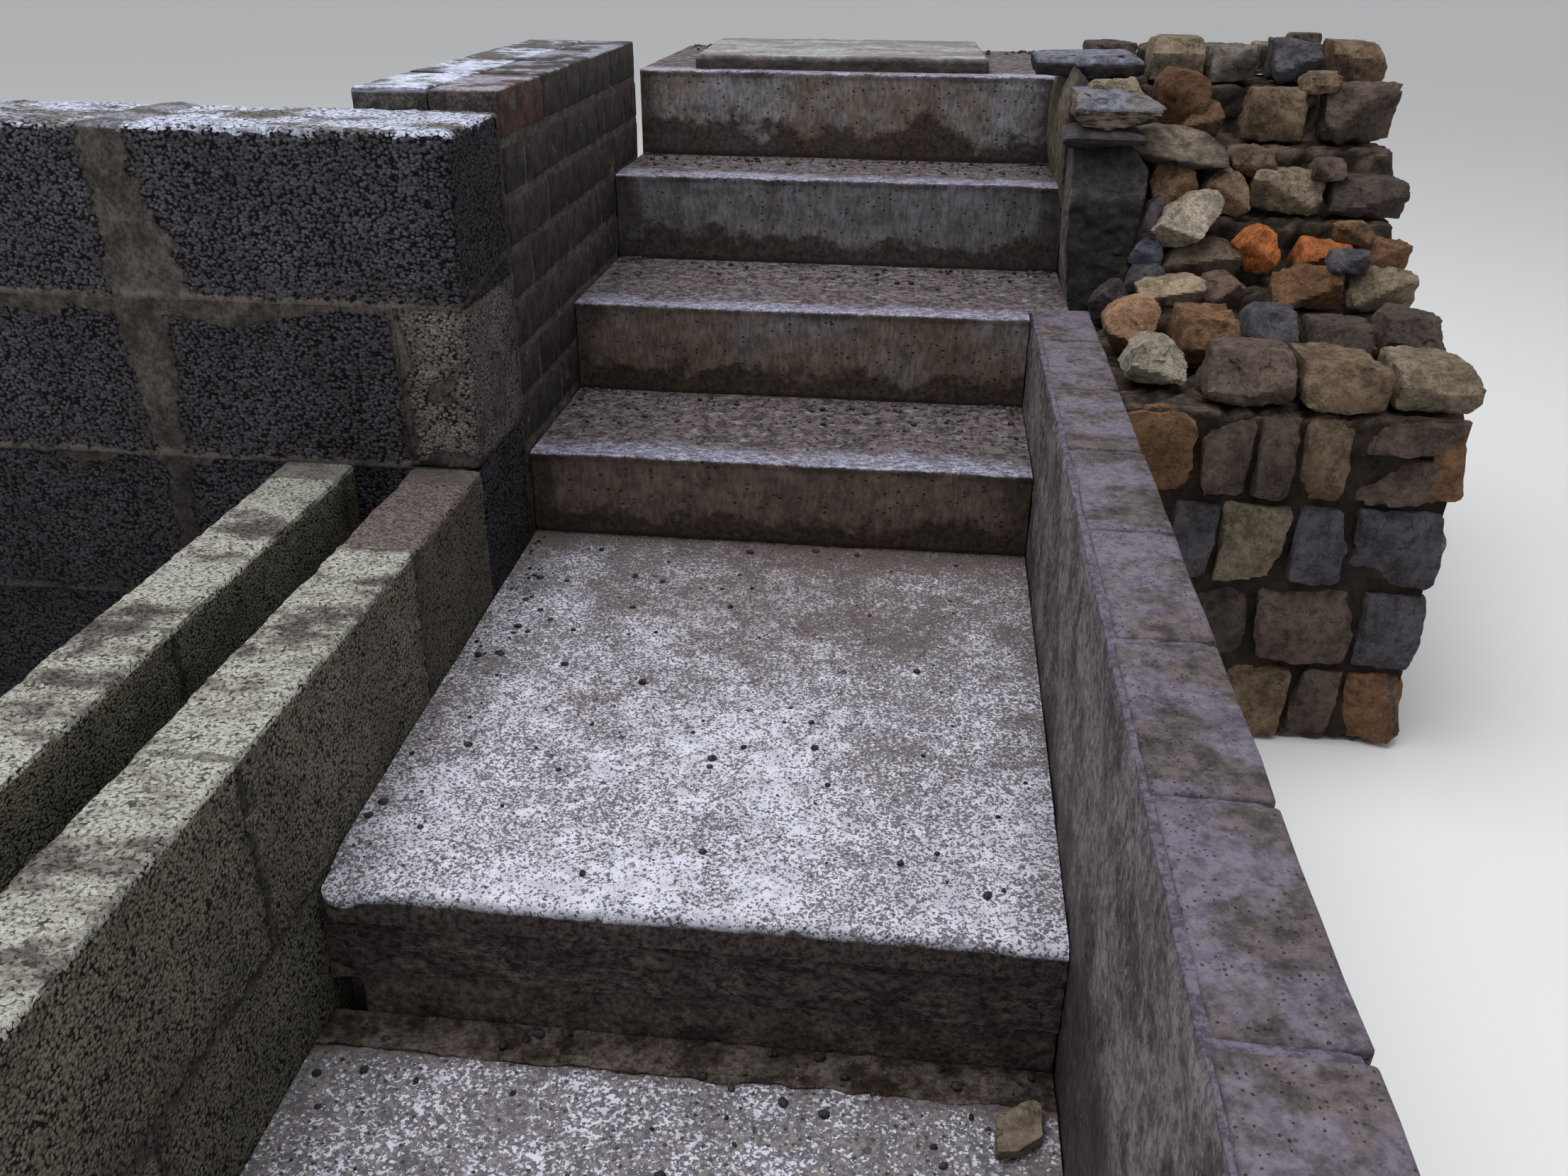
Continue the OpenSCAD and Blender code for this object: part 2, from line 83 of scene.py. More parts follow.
# ---------------------------------------------------------------- shapes


def cut_box(low, high, step):
    """A closed box whose faces are cut into cells of about step along each axis."""
    size = [high[i] - low[i] for i in range(3)]
    bm = bmesh.new()
    bmesh.ops.create_cube(bm, size=1.0)
    bmesh.ops.scale(bm, vec=size, verts=bm.verts)
    bmesh.ops.translate(bm, vec=[(low[i] + high[i]) / 2 for i in range(3)], verts=bm.verts)
    for axis in range(3):
        cuts = round(size[axis] / step[axis]) - 1
        if cuts > 0:
            along = [e for e in bm.edges if abs(e.verts[0].co[axis] - e.verts[1].co[axis]) > 1e-3]
            bmesh.ops.subdivide_edges(bm, edges=along, cuts=cuts, use_grid_fill=True)
    return bm


def points(bm):
    return np.array([v.co[:] for v in bm.verts])


def place(bm, p):
    for v, co in zip(bm.verts, p.tolist()):
        v.co = co


def mark(bm, **values):
    """Writes one number per vertex, which the materials read by name."""
    for name, value in values.items():
        layer = bm.verts.layers.float.get(name) or bm.verts.layers.float.new(name)
        value = np.broadcast_to(value, (len(bm.verts),)).tolist()
        for v, x in zip(bm.verts, value):
            v[layer] = x


def plain(bm, axis, at):
    """Makes one face of the flat, hidden cells that lie at that place along the axis."""
    cells = [f for f in bm.faces if all(abs(v.co[axis] - at) < 0.01 for v in f.verts)]
    if len(cells) > 1:
        bmesh.ops.dissolve_faces(bm, faces=cells, use_verts=False)


def soft(value, low, high):
    """0 below low, 1 above high, and a smooth change between them."""
    t = np.clip((value - low) / (high - low), 0.0, 1.0)
    return t * t * (3 - 2 * t)


def cloud(p, size, seed=0.0, octaves=3):
    """Smooth noise of about -1 to 1, with features of that size in millimetres (one or one per axis)."""
    q = p / np.broadcast_to(size, (3,)) + (seed * 7.3, seed * -3.1, seed * 5.7)
    return np.array([noise.fractal(c, 1.0, 2.0, octaves) for c in q.tolist()])


def cells(p, size, seed=0.0):
    """Distance to the edge of the nearest cell, 0 at the edge, and a number that is the same all over the cell."""
    q = p / np.broadcast_to(size, (3,)) + (seed * 4.7, seed * 2.9, seed * -6.1)
    gap, tone = [], []
    for c in q.tolist():
        distances, centres = noise.voronoi(c)
        gap.append(distances[1] - distances[0])
        tone.append(noise.cell(centres[0] * 13.7))
    return np.array(gap), np.array(tone)


def chance(k, salt=0.0):
    """A number from 0 to 1 that is always the same for the same k and salt."""
    return (math.sin(k * 12.9898 + salt * 78.233 + 1.0) * 43758.5453) % 1.0


def chips(p, size, seed=0.0):
    """Broken facets of that size: flat pieces, each tilted its own way, from about -1 to 1."""
    q = p / np.broadcast_to(size, (3,)) + (seed * 3.1, seed * -2.3, seed * 1.9)
    out = []
    for c in q.tolist():
        _, centres = noise.voronoi(c)
        tilt = noise.cell_vector(centres[0] * 7.1)
        away = Vector(c) - centres[0]
        out.append(0.9 * noise.cell(centres[0] * 11.3) - 0.45 + 1.6 * away.dot(tilt - Vector((0.5, 0.5, 0.5))))
    return np.array(out)


def rounded(p, low, high, r, keep=""):
    """Box points with edges of radius r, and the way out at each. Faces named in keep meet their neighbours square."""
    r = np.broadcast_to(r, (len(p),))
    core = np.empty_like(p)
    for a, axis in enumerate("xyz"):
        near = low[a] + (0 if "-" + axis in keep else r)
        far = high[a] - (0 if "+" + axis in keep else r)
        core[:, a] = np.clip(p[:, a], near, far)
    out = p - core
    reach = np.linalg.norm(out, axis=1)
    inside = reach < 1e-6
    middle = (np.array(low) + np.array(high)) / 2
    half = (np.array(high) - np.array(low)) / 2
    face = (p - middle) / half
    face = np.where(np.abs(face) >= np.abs(face).max(axis=1, keepdims=True) - 1e-6, np.sign(face), 0)
    out[inside] = face[inside]
    way = out / np.linalg.norm(out, axis=1)[:, None]
    moved = np.where(inside[:, None], p, core + way * r[:, None])
    return moved, way


class Pile:
    """Collects several meshes, in plan millimetres, into one piece."""

    def __init__(self):
        self.bm = bmesh.new()

    def add(self, bm):
        mesh = bpy.data.meshes.new("part")
        bm.to_mesh(mesh)
        bm.free()
        self.bm.from_mesh(mesh)
        bpy.data.meshes.remove(mesh)
        return self


def piece(name, bm, finish, slot, *nodes, crease=58):
    """Puts a mesh in plan millimetres into the scene as a piece of the part."""
    bmesh.ops.scale(bm, vec=(0.001, 0.001, 0.001), verts=bm.verts)
    bmesh.ops.translate(bm, vec=CORNER, verts=bm.verts)
    for v in bm.verts:
        v.co = [min(max(c, a), b) for c, a, b in zip(v.co, *CAD_BOX)]
    mesh = bpy.data.meshes.new(name)
    bm.to_mesh(mesh)
    bm.free()
    mesh.shade_smooth()
    mesh.set_sharp_from_angle(angle=math.radians(crease))
    mesh.materials.append(finish)
    obj = bpy.data.objects.new(name, mesh)
    bpy.context.scene.collection.objects.link(obj)
    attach(obj, "root")
    if nodes:
        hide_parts(*nodes)
    return obj


# ---------------------------------------------------------------- finishes


class Finish:
    """A procedural material, written one node at a time."""

    def __init__(self, name):
        self.material = bpy.data.materials.new(name)
        self.material.use_nodes = True
        self.tree = self.material.node_tree
        self.tree.nodes.clear()
        self.shader = self.add("ShaderNodeBsdfPrincipled")
        out = self.add("ShaderNodeOutputMaterial")
        self.tree.links.new(self.shader.outputs[0], out.inputs[0])
        self.where = self.add("ShaderNodeTexCoord").outputs["Object"]

    def add(self, kind, **settings):
        node = self.tree.nodes.new(kind)
        for key, value in settings.items():
            setattr(node, key, value)
        return node

    def feed(self, socket, value):
        if isinstance(value, bpy.types.NodeSocket):
            self.tree.links.new(value, socket)
        elif isinstance(value, (tuple, list)) or hasattr(value, "__len__"):
            value = tuple(value)
            socket.default_value = value + (1.0,) if len(socket.default_value) == 4 and len(value) == 3 else value
        else:
            socket.default_value = value

    def stretched(self, stretch, seed):
        node = self.add("ShaderNodeMapping")
        self.feed(node.inputs["Vector"], self.where)
        node.inputs["Scale"].default_value = stretch
        node.inputs["Location"].default_value = (seed * 1.3, seed * 0.7, seed * 2.1)
        return node.outputs[0]

    def noise(self, scale, detail=3.0, rough=0.55, stretch=(1, 1, 1), seed=0.0, warp=0.0):
        """Noise from 0 to 1, with scale features to the metre."""
        node = self.add("ShaderNodeTexNoise", noise_dimensions="3D")
        self.feed(node.inputs["Vector"], self.stretched(stretch, seed))
        for key, value in (("Scale", scale), ("Detail", detail), ("Roughness", rough), ("Distortion", warp)):
            node.inputs[key].default_value = value
        return node.outputs["Factor"] if "Factor" in node.outputs else node.outputs["Fac"]

    def grains(self, scale, stretch=(1, 1, 1), seed=0.0, smooth=False):
        """Distance to the middle of the nearest grain, and a random number for each grain."""
        node = self.add("ShaderNodeTexVoronoi", feature="SMOOTH_F1" if smooth else "F1")
        self.feed(node.inputs["Vector"], self.stretched(stretch, seed))
        node.inputs["Scale"].default_value = scale
        split = self.add("ShaderNodeSeparateColor")
        self.feed(split.inputs[0], node.outputs["Color"])
        return node.outputs["Distance"], split.outputs[0]

    def read(self, name):
        """The number marked on the mesh under that name."""
        return self.add("ShaderNodeAttribute", attribute_name=name).outputs["Fac"]

    def read_tint(self, name):
        return self.add("ShaderNodeAttribute", attribute_name=name).outputs["Color"]

    def height(self):
        """Metres above the ground."""
        node = self.add("ShaderNodeSeparateXYZ")
        self.feed(node.inputs[0], self.where)
        return node.outputs[2]

    def sum(self, *values):
        return self.chain("ADD", values)

    def times(self, *values):
        return self.chain("MULTIPLY", values)

    def less(self, a, b):
        return self.math("SUBTRACT", a, b)

    def chain(self, operation, values):
        total = values[0]
        for value in values[1:]:
            total = self.math(operation, total, value)
        return total

    def math(self, operation, *values):
        node = self.add("ShaderNodeMath", operation=operation)
        for socket, value in zip(node.inputs, values):
            self.feed(socket, value)
        return node.outputs[0]

    def step(self, value, low, high, start=0.0, end=1.0):
        """start below low, end above high, smooth between."""
        node = self.add("ShaderNodeMapRange", interpolation_type="SMOOTHSTEP")
        for key, x in (("Value", value), ("From Min", low), ("From Max", high), ("To Min", start), ("To Max", end)):
            self.feed(node.inputs[key], x)
        return node.outputs[0]

    def mix(self, factor, a, b):
        node = self.add("ShaderNodeMix", data_type="RGBA")
        self.feed(node.inputs[0], factor)
        self.feed(node.inputs[6], a)
        self.feed(node.inputs[7], b)
        return node.outputs[2]

    def shade(self, colour, factor):
        """Colour times a number."""
        node = self.add("ShaderNodeVectorMath", operation="SCALE")
        self.feed(node.inputs[0], colour)
        self.feed(node.inputs["Scale"], factor)
        return node.outputs[0]

    def mottled(self, colour, one, other, pattern, low, high):
        """The colour at two strengths, one where the pattern is low and the other where it is high."""
        return self.mix(self.step(pattern, low, high), self.shade(colour, one), self.shade(colour, other))

    def swing(self, reach, *args, **settings):
        """Noise about zero, times its reach."""
        return self.times(self.less(self.noise(*args, **settings), 0.5), reach)

    def relief(self, height, depth):
        """Bump, where height runs from 0 to 1 and depth is in millimetres."""
        node = self.add("ShaderNodeBump")
        node.inputs["Distance"].default_value = depth * 0.001
        self.feed(node.inputs["Height"], height)
        return node.outputs[0]

    def done(self, colour, rough, normal=None, specular=0.4):
        self.feed(self.shader.inputs["Base Color"], colour)
        self.feed(self.shader.inputs["Roughness"], rough)
        self.shader.inputs["Specular IOR Level"].default_value = specular
        if normal is not None:
            self.feed(self.shader.inputs["Normal"], normal)
        return self.material


def pale_concrete(name, tones, grain, wear, pebbles):
    """Worn concrete whose dark aggregate shows through a pale skin, with a soft film of brown dirt."""
    f = Finish(name)
    broad = f.noise(3.2, 3, 0.55, seed=3)
    patch = f.noise(15.0, 5, 0.70, seed=9)
    fine = f.noise(60.0, 4, 0.70, seed=5)
    dirt = f.read("dirt")
    skin = f.mix(f.step(f.noise(36.0, 4, 0.66, seed=5), 0.40, 0.62), tones.pale, f.shade(tones.pale, 0.74))
    level = f.sum(f.times(f.less(patch, 0.5), 0.34), f.times(f.less(broad, 0.5), 0.20), f.times(dirt, 0.09), wear)
    one = f.grains(grain * 0.85, seed=11)[1]
    speck = f.sum(f.times(f.noise(grain, 3.0, 0.66, seed=1), 0.45),
                  f.times(f.noise(grain * 0.42, 2.0, 0.6, seed=7), 0.20), f.times(one, 0.20), 0.075)
    worn = f.step(f.less(speck, level), -0.030, 0.016, 1.0, 0.0)
    middle, tone = f.grains(pebbles, seed=4)
    pebble = f.times(f.step(middle, 0.20, 0.34, 1.0, 0.0),
                     f.step(f.less(tone, f.times(level, 0.62)), -0.12, -0.07, 1.0, 0.0))
    stone_colour = f.mix(f.step(f.noise(grain * 0.6, 2, 0.6, seed=6), 0.42, 0.62), tones.aggregate, tones.grit)
    colour = f.mix(f.times(worn, 0.90), skin, stone_colour)
    colour = f.mix(f.times(pebble, 0.86), colour, f.mix(tone, f.shade(tones.aggregate, 0.5), tones.aggregate))
    far, big = f.grains(27.0, seed=8)
    lump = f.times(f.step(far, 0.09, 0.14, 1.0, 0.0), f.step(big, 0.86, 0.88))
    colour = f.mix(f.times(lump, 0.85), colour, f.shade(tones.aggregate, 0.5))
    film = f.sum(dirt, f.times(f.less(patch, 0.5), 0.85), f.times(f.less(fine, 0.5), 1.0))
    film = f.step(film, 0.12, 1.05)
    grime = f.mottled(tones.dirt, 1.25, 0.55, f.noise(grain * 0.5, 3, 0.7, seed=17), 0.40, 0.62)
    grime = f.mix(f.times(f.math("MAXIMUM", worn, pebble), 0.6), grime, f.shade(tones.dirt, 0.30))
    colour = f.mix(f.times(film, 0.88), colour, grime)
    lumpy = f.noise(120.0, 5, 0.74, seed=19)
    wet = f.mix(0.2, tones.riser_warm, tones.riser)
    wet = f.mottled(wet, 0.62, 0.10, lumpy, 0.38, 0.64)
    colour = f.mix(f.step(f.read("damp"), 0.2, 0.8), colour, wet)
    height = f.sum(f.times(worn, -0.7), f.times(pebble, -0.6), f.times(f.noise(420.0, 2, 0.6), 0.4), f.times(lump, 1.2),
                   f.times(lumpy, f.read("damp"), -3.0))
    rough = f.step(f.sum(film, f.read("damp")), 0.0, 1.0, 0.55, 0.84)
    return f.done(colour, rough, f.relief(height, 1.5), 0.18)


def step_concrete(name, tones, seed, level):
    """Brushed concrete of risers, damp at the foot, with smooth wet nosings and dirt on the treads behind them."""
    f = Finish(name)
    ahead, below, above, side, warm = (f.read(k) for k in ("ahead", "below", "above", "side", "warm"))
    # tread: a wet band along the nosing, then dirt
    wave = f.swing(170.0, 9.0, 5, 0.72, (1, 0.8, 1), seed + 1)
    fray = f.swing(95.0, 75.0, 4, 0.72, (0.8, 1, 1), seed + 14)
    front = f.step(f.sum(ahead, wave, fray), 22.0, 78.0, 1.0, 0.0)
    brushed = f.noise(95.0, 4, 0.74, (0.6, 1.1, 1), seed + 2)
    wet = f.mottled(tones.nosing, 1.15, 0.42, brushed, 0.38, 0.60)
    wet = f.mix(f.times(f.step(f.noise(190.0, 3, 0.7, seed=seed + 12), 0.52, 0.60), 0.8), wet,
                f.shade(tones.tread, 0.30))
    clod = f.noise(64.0, 5, 0.80, seed=seed + 3)
    earth = f.mottled(tones.tread, 1.15, 0.26, clod, 0.40, 0.60)
    pale = f.step(f.noise(40.0, 5, 0.80, (0.8, 1.2, 1), seed + 4), 0.55, 0.64)
    earth = f.mix(f.times(pale, 0.6), earth, f.shade(tones.nosing, 0.9))
    far, pick = f.grains(100.0, (1, 1, 1), seed)
    crumb = f.times(f.step(far, 0.20, 0.32, 1.0, 0.0), f.step(pick, 0.56, 0.60), f.step(front, 0.0, 0.7, 1.0, 0.25))
    top = f.mix(f.times(front, 0.92), earth, wet)
    top = f.mix(f.times(crumb, 0.88), top, f.shade(tones.damp, 0.35))
    # riser: fine upright brush lines above, a damp and uneven foot below
    body = f.mix(f.step(f.sum(f.noise(7.0, 4, 0.62, (1, 1, 0.9), seed + 5), warm), 0.34, 0.68),
                 f.shade(tones.riser, level), f.shade(tones.riser_warm, level))
    ripple = f.noise(120.0, 4, 0.70, (1.3, 1, 0.42), seed + 7)
    body = f.mottled(body, 1.20, 0.68, ripple, 0.36, 0.64)
    body = f.mottled(body, 1.10, 0.66, f.noise(26.0, 6, 0.76, seed=seed + 13), 0.38, 0.64)
    lines = f.step(f.noise(200.0, 3, 0.65, (1, 1, 0.10), seed + 6), 0.55, 0.72)
    body = f.mix(f.times(lines, 0.25), body, f.shade(body, 1.9))
    hollow, deep = f.grains(110.0, (0.9, 1, 1.2), seed + 15)
    pit = f.times(f.step(hollow, 0.16, 0.30, 1.0, 0.0), f.step(deep, 0.76, 0.80))
    body = f.mix(f.times(pit, 0.85), body, f.shade(tones.damp, 0.35))
    scallop = f.swing(0.95, 10.0, 4, 0.6, (1, 1, 1.1), seed + 8)
    foot = f.step(f.sum(above, scallop, f.swing(0.26, 75.0, 4, 0.7, seed=seed)), 0.22, 0.36, 1.0, 0.0)
    corner = f.step(f.sum(side, f.swing(130.0, 15.0, 4, 0.65, seed=seed + 9)), 12.0, 60.0, 1.0, 0.0)
    foot = f.math("MAXIMUM", foot, f.times(corner, 0.85))
    dank = f.mottled(tones.damp, 0.5, 2.0, f.noise(95.0, 4, 0.72, seed=seed + 10), 0.38, 0.64)
    body = f.mix(f.times(foot, 0.88), body, dank)
    # darker brown patches in a band just below the nosing
    band_below_nosing = f.times(f.step(below, 3.0, 34.0, 1.0, 0.0),
                   f.step(f.noise(13.0, 5, 0.7, (1, 1, 0.6), seed + 11), 0.48, 0.60))
    body = f.mix(f.times(band_below_nosing, 0.6), body, f.shade(tones.riser_warm, 0.36))
    lip = f.step(f.sum(below, f.swing(12.0, 90.0, 4, 0.65, seed=seed)), 0.8, 3.6, 1.0, 0.0)
    colour = f.mix(lip, body, top)
    colour = f.mix(f.times(f.step(above, 0.0, 0.07, 1.0, 0.0), 0.75), colour, f.shade(tones.damp, 0.4))
    grit = f.noise(500.0, 2, 0.6)
    height = f.sum(f.times(ripple, f.less(1.0, lip), 0.8), f.times(grit, 0.3), f.times(crumb, lip, 1.8),
                   f.times(brushed, lip, 0.6),
                   f.times(clod, lip, f.less(1.0, front), -0.9), f.times(pit, -0.9))
    rough = f.step(f.times(front, lip), 0.0, 1.0, 0.82, 0.42)
    return f.done(colour, rough, f.relief(height, 2.6), 0.16)


def rough_concrete(name, tones):
    """Dark, coarse face of the landing's edge, damp and olive brown."""
    f = Finish(name)
    body = f.mix(0.2, tones.riser_warm, tones.riser)
    body = f.mottled(body, 0.32, 0.62, f.noise(16.0, 5, 0.70), 0.38, 0.64)
    lumpy = f.noise(110.0, 5, 0.74, (0.8, 1, 1.1), 2)
    body = f.mottled(body, 1.45, 0.34, lumpy, 0.38, 0.64)
    crack = f.step(f.math("ABSOLUTE", f.less(f.noise(20.0, 5, 0.7, (0.5, 1, 1.4), 8, 0.8), 0.5)), 0.0, 0.014, 1.0, 0.0)
    body = f.mix(f.times(crack, 0.6), body, f.shade(tones.damp, 0.25))
    far, pick = f.grains(150.0, seed=5)
    chip = f.times(f.step(far, 0.15, 0.26, 1.0, 0.0), f.step(pick, 0.90, 0.93))
    body = f.mix(f.times(chip, 0.5), body, tones.grit)
    height = f.sum(f.times(lumpy, -1.6), f.times(f.noise(420.0, 2, 0.6), 0.4), f.times(crack, -0.8))
    return f.done(body, 0.82, f.relief(height, 3.4), 0.14)


def gritty_mortar(name, base, dark):
    """Flat strip of mortar and grit, dirty, with small stones in it."""
    f = Finish(name)
    body = f.mix(f.step(f.noise(20.0, 5, 0.70), 0.38, 0.62), base, dark)
    body = f.mottled(body, 1.35, 0.40, f.noise(120.0, 5, 0.76, seed=3), 0.38, 0.64)
    far, pick = f.grains(110.0, seed=2)
    chip = f.times(f.step(far, 0.2, 0.3, 1.0, 0.0), f.step(pick, 0.84, 0.88))
    body = f.mix(f.times(chip, 0.5), body, f.shade(base, 1.7))
    height = f.sum(f.noise(200.0, 4, 0.7), f.times(chip, 0.6))
    return f.done(body, 0.75, f.relief(height, 2.6), 0.10)


def open_block(name, tones, dark, light, size, wet, pits=0.5, foot=1.0):
    """Open-textured aggregate block with its mortar: lumps painted lit at their middles with black gaps of painted
    shade between them, smeared joints, and a pale top of mortar patches and painted sky sheen.
    """
    f = Finish(name)
    mortar, top, tone, ridge, dim = (f.read(k) for k in ("mortar", "top", "tone", "ridge", "dim"))
    far, pick = f.grains(size, (0.90, 0.95, 1.10), 1)
    small, odd = f.grains(size * 2.2, seed=2)
    ragged = f.noise(size * 0.75, 4.0, 0.66, (0.85, 0.95, 1.15), 3, 0.3)
    clumped = f.noise(size * 0.22, 3.0, 0.6, seed=12)
    open_here = f.sum(far, f.times(f.less(0.5, ragged), 1.15), f.times(f.less(0.5, clumped), 0.5), f.times(small, 0.12))
    pit = f.step(open_here, 0.86 - 0.40 * pits, 0.96 - 0.40 * pits)
    crest = f.less(1.0, pit)
    # painted light and shade: each grain takes the lit or the shaded tone, and is lighter at its middle
    body = f.mix(pick, dark, light)
    body = f.mottled(body, 1.35, f.sum(0.50, f.times(odd, 0.5)), far, 0.08, 0.62)
    body = f.mix(f.step(f.noise(9.0, 4, 0.62, seed=2), 0.34, 0.66), body, f.shade(body, 0.72))
    earthy = f.step(f.sum(tone, f.swing(1.1, 14.0, 5, 0.72, seed=9)), 0.45, 0.95)
    body = f.mix(f.times(earthy, 0.6), body, f.shade(tones.mortar, 0.50))
    # painted shade: the gaps between the lumps made nearly black
    body = f.mix(f.times(pit, 0.94), body, f.shade(dark, 0.07))
    edge = f.sum(mortar, f.swing(26.0, 60.0, 5, 0.72, seed=5), f.times(pit, 4.0))
    bond = f.step(edge, -1.0, 1.5, 1.0, 0.0)
    joint = f.mottled(tones.mortar, 0.86, 0.42, f.noise(24.0, 5, 0.72, seed=6), 0.38, 0.62)
    drag = f.noise(150.0, 5, 0.76, (1, 1, 0.8), 7)
    joint = f.mottled(joint, 1.25, 0.52, drag, 0.38, 0.64)
    # painted highlight: the mortar lighter along the upper edge of each bed joint, where the mesh marks the ridge
    joint = f.mix(f.times(ridge, f.step(f.noise(34.0, 4, 0.7, seed=16), 0.36, 0.56)), joint,
                  f.shade(tones.mortar, 1.55))
    smear = f.times(f.step(edge, 0.0, 34.0, 1.0, 0.0), crest, f.step(f.noise(40.0, 4, 0.7, seed=13), 0.42, 0.60), 0.7)
    body = f.mix(smear, body, f.shade(joint, 0.7))
    # painted shadow: a dark line along the edge of each mortar smear
    line = f.step(f.math("ABSOLUTE", f.sum(edge, 1.4)), 0.0, 2.6, 1.0, 0.0)
    colour = f.mix(f.times(line, 0.62), f.mix(bond, body, joint), f.shade(tones.mortar, 0.16))
    # painted shade: darker towards the ground, partly standing for damp, and darker where the mesh marks the wall's end
    # face and its lower courses
    colour = f.shade(colour, f.times(f.step(f.height(), 0.05, 0.62, foot, 1.0), f.step(dim, 0.0, 1.0, 1.0, 0.62)))
    # the marked top: painted sky sheen in the wet colour, with real mortar patches and red mortar; its dark holes are
    # painted shade
    skin = f.mix(f.step(f.noise(size * 0.9, 4, 0.74, seed=8), 0.40, 0.62), wet, f.shade(wet, 0.48))
    patchy = f.noise(7.0, 5, 0.72, (1, 1.7, 1), 4)
    film = f.noise(size * 0.7, 4, 0.74, seed=14)
    bare = f.mottled(tones.mortar, 1.05, 0.34, film, 0.36, 0.66)
    skin = f.mix(f.step(patchy, 0.40, 0.56), bare, skin)
    holed = f.times(pit, f.step(clumped, 0.36, 0.60))
    skin = f.mix(f.times(holed, 0.85), skin, f.shade(dark, 0.3))
    red = f.mix(f.step(film, 0.40, 0.62), tones.blush, f.shade(tones.blush, 0.42))
    skin = f.mix(f.step(tone, 0.62, 0.80), skin, red)
    over = f.times(f.step(f.sum(top, f.times(pit, -0.5)), 0.40, 0.62), f.less(1.0, f.times(bond, 0.6)))
    colour = f.mix(over, colour, skin)
    height = f.mix(f.math("MAXIMUM", bond, f.times(over, 0.8)), f.less(f.times(crest, 1.3), f.times(far, 0.7)),
                   f.sum(0.6, f.times(drag, -0.8), f.times(f.noise(40.0, 4, 0.65, seed=3), 0.6),
                         f.times(pit, over, -0.6)))
    return f.done(colour, f.step(over, 0.0, 1.0, 0.82, 0.45), f.relief(height, 600.0 / size), 0.07)


def wall_brick(name, tones, base, warm, wet):
    """Smooth common brick, each a little different, with a dusty face, fine pits and a painted sky sheen on the top
    faces that the mesh marks.
    """
    f = Finish(name)
    tone, top = f.read("tone"), f.read("top")
    body = f.mix(f.step(tone, 0.62, 0.95), f.mix(tone, f.shade(base, 1.2), f.shade(base, 0.6)), warm)
    body = f.mottled(body, 1.40, 0.46, f.noise(34.0, 6, 0.78), 0.38, 0.64)
    dust = f.step(f.noise(16.0, 5, 0.78, seed=3), 0.53, 0.66)
    body = f.mix(f.times(dust, 0.36), body, f.shade(tones.mortar, 0.5))
    # painted reflection: on the marked top faces the colour turns to the wet sky colour; damp holds that painted sheen
    damp = f.mix(f.step(f.noise(10.0, 5, 0.70, seed=7), 0.44, 0.56), f.shade(body, 1.15), wet)
    damp = f.mix(f.step(f.noise(110.0, 5, 0.76, seed=8), 0.42, 0.62), damp, f.shade(damp, 0.48))
    body = f.mix(top, body, damp)
    stain = f.step(f.noise(12.0, 6, 0.78, seed=21), 0.50, 0.60)
    body = f.mix(f.times(stain, 0.45), body, f.shade(body, 0.42))
    far, pick = f.grains(230.0, seed=4)
    ragged = f.sum(far, f.swing(0.9, 260.0, 3, 0.7, seed=12))
    pit = f.times(f.step(ragged, 0.12, 0.26, 1.0, 0.0),
                  f.step(f.sum(pick, f.swing(1.4, 20.0, 3, 0.6, seed=11)), 0.62, 0.70))
    body = f.mix(f.times(pit, 0.75), body, f.shade(base, 0.2))
    height = f.sum(f.times(f.noise(240.0, 4, 0.7), 0.7), f.times(pit, -1.0), f.times(f.noise(40.0, 4, 0.65), 0.9))
    return f.done(body, f.step(top, 0.2, 0.9, 0.78, 0.50), f.relief(height, 2.0), 0.10)


def joint_mortar(name, tones, wet):
    """Ragged mortar between bricks, with a painted sky sheen on its marked top."""
    f = Finish(name)
    body = f.mottled(tones.mortar, 0.95, 0.42, f.noise(30.0, 5, 0.72), 0.38, 0.64)
    body = f.mottled(body, 0.55, 1.25, f.noise(190.0, 3, 0.6, seed=2), 0.40, 0.62)
    # painted reflection: the marked top takes the wet sky colour
    body = f.mix(f.times(f.step(f.read("top"), 0.4, 0.9), 0.35), body, wet)
    height = f.sum(f.noise(160.0, 4, 0.7, seed=4), f.times(f.noise(600.0, 2, 0.6), 0.3))
    return f.done(body, 0.78, f.relief(height, 2.2), 0.14)


def smeared_render(name, tones, pale, dark):
    """Thin mortar drawn over the kerb's face, rough, with a few runs of water."""
    f = Finish(name)
    streak = f.noise(70.0, 4, 0.7, (1, 1, 0.35), 1)
    cloudy = f.noise(13.0, 5, 0.74, seed=4)
    lumpy = f.noise(100.0, 5, 0.76, seed=5)
    body = f.mix(f.step(f.sum(f.times(streak, 0.3), f.times(cloudy, 0.7)), 0.40, 0.60), dark, pale)
    body = f.mottled(body, 1.25, 0.42, lumpy, 0.38, 0.64)
    body = f.mix(f.times(f.step(f.noise(150.0, 4, 0.74, (1, 1, 0.6), 3), 0.55, 0.66), 0.55), body, f.shade(pale, 1.6))
    low = f.step(f.sum(f.read("above"), f.times(f.less(cloudy, 0.5), 0.5)), 0.02, 0.34, 1.0, 0.0)
    body = f.mix(f.times(low, 0.75), body, f.shade(dark, 0.45))
    # the fillet along the render's top in the kerb's painted sky sheen
    fillet = f.mottled(tones.kerb_top_sky_sheen, 0.62, 0.24, lumpy, 0.40, 0.60)
    body = f.mix(f.times(f.read("top"), 0.9), body, fillet)
    height = f.sum(f.times(streak, 0.3), f.times(cloudy, 1.3), f.times(lumpy, 1.2))
    return f.done(body, 0.72, f.relief(height, 3.0), 0.2)


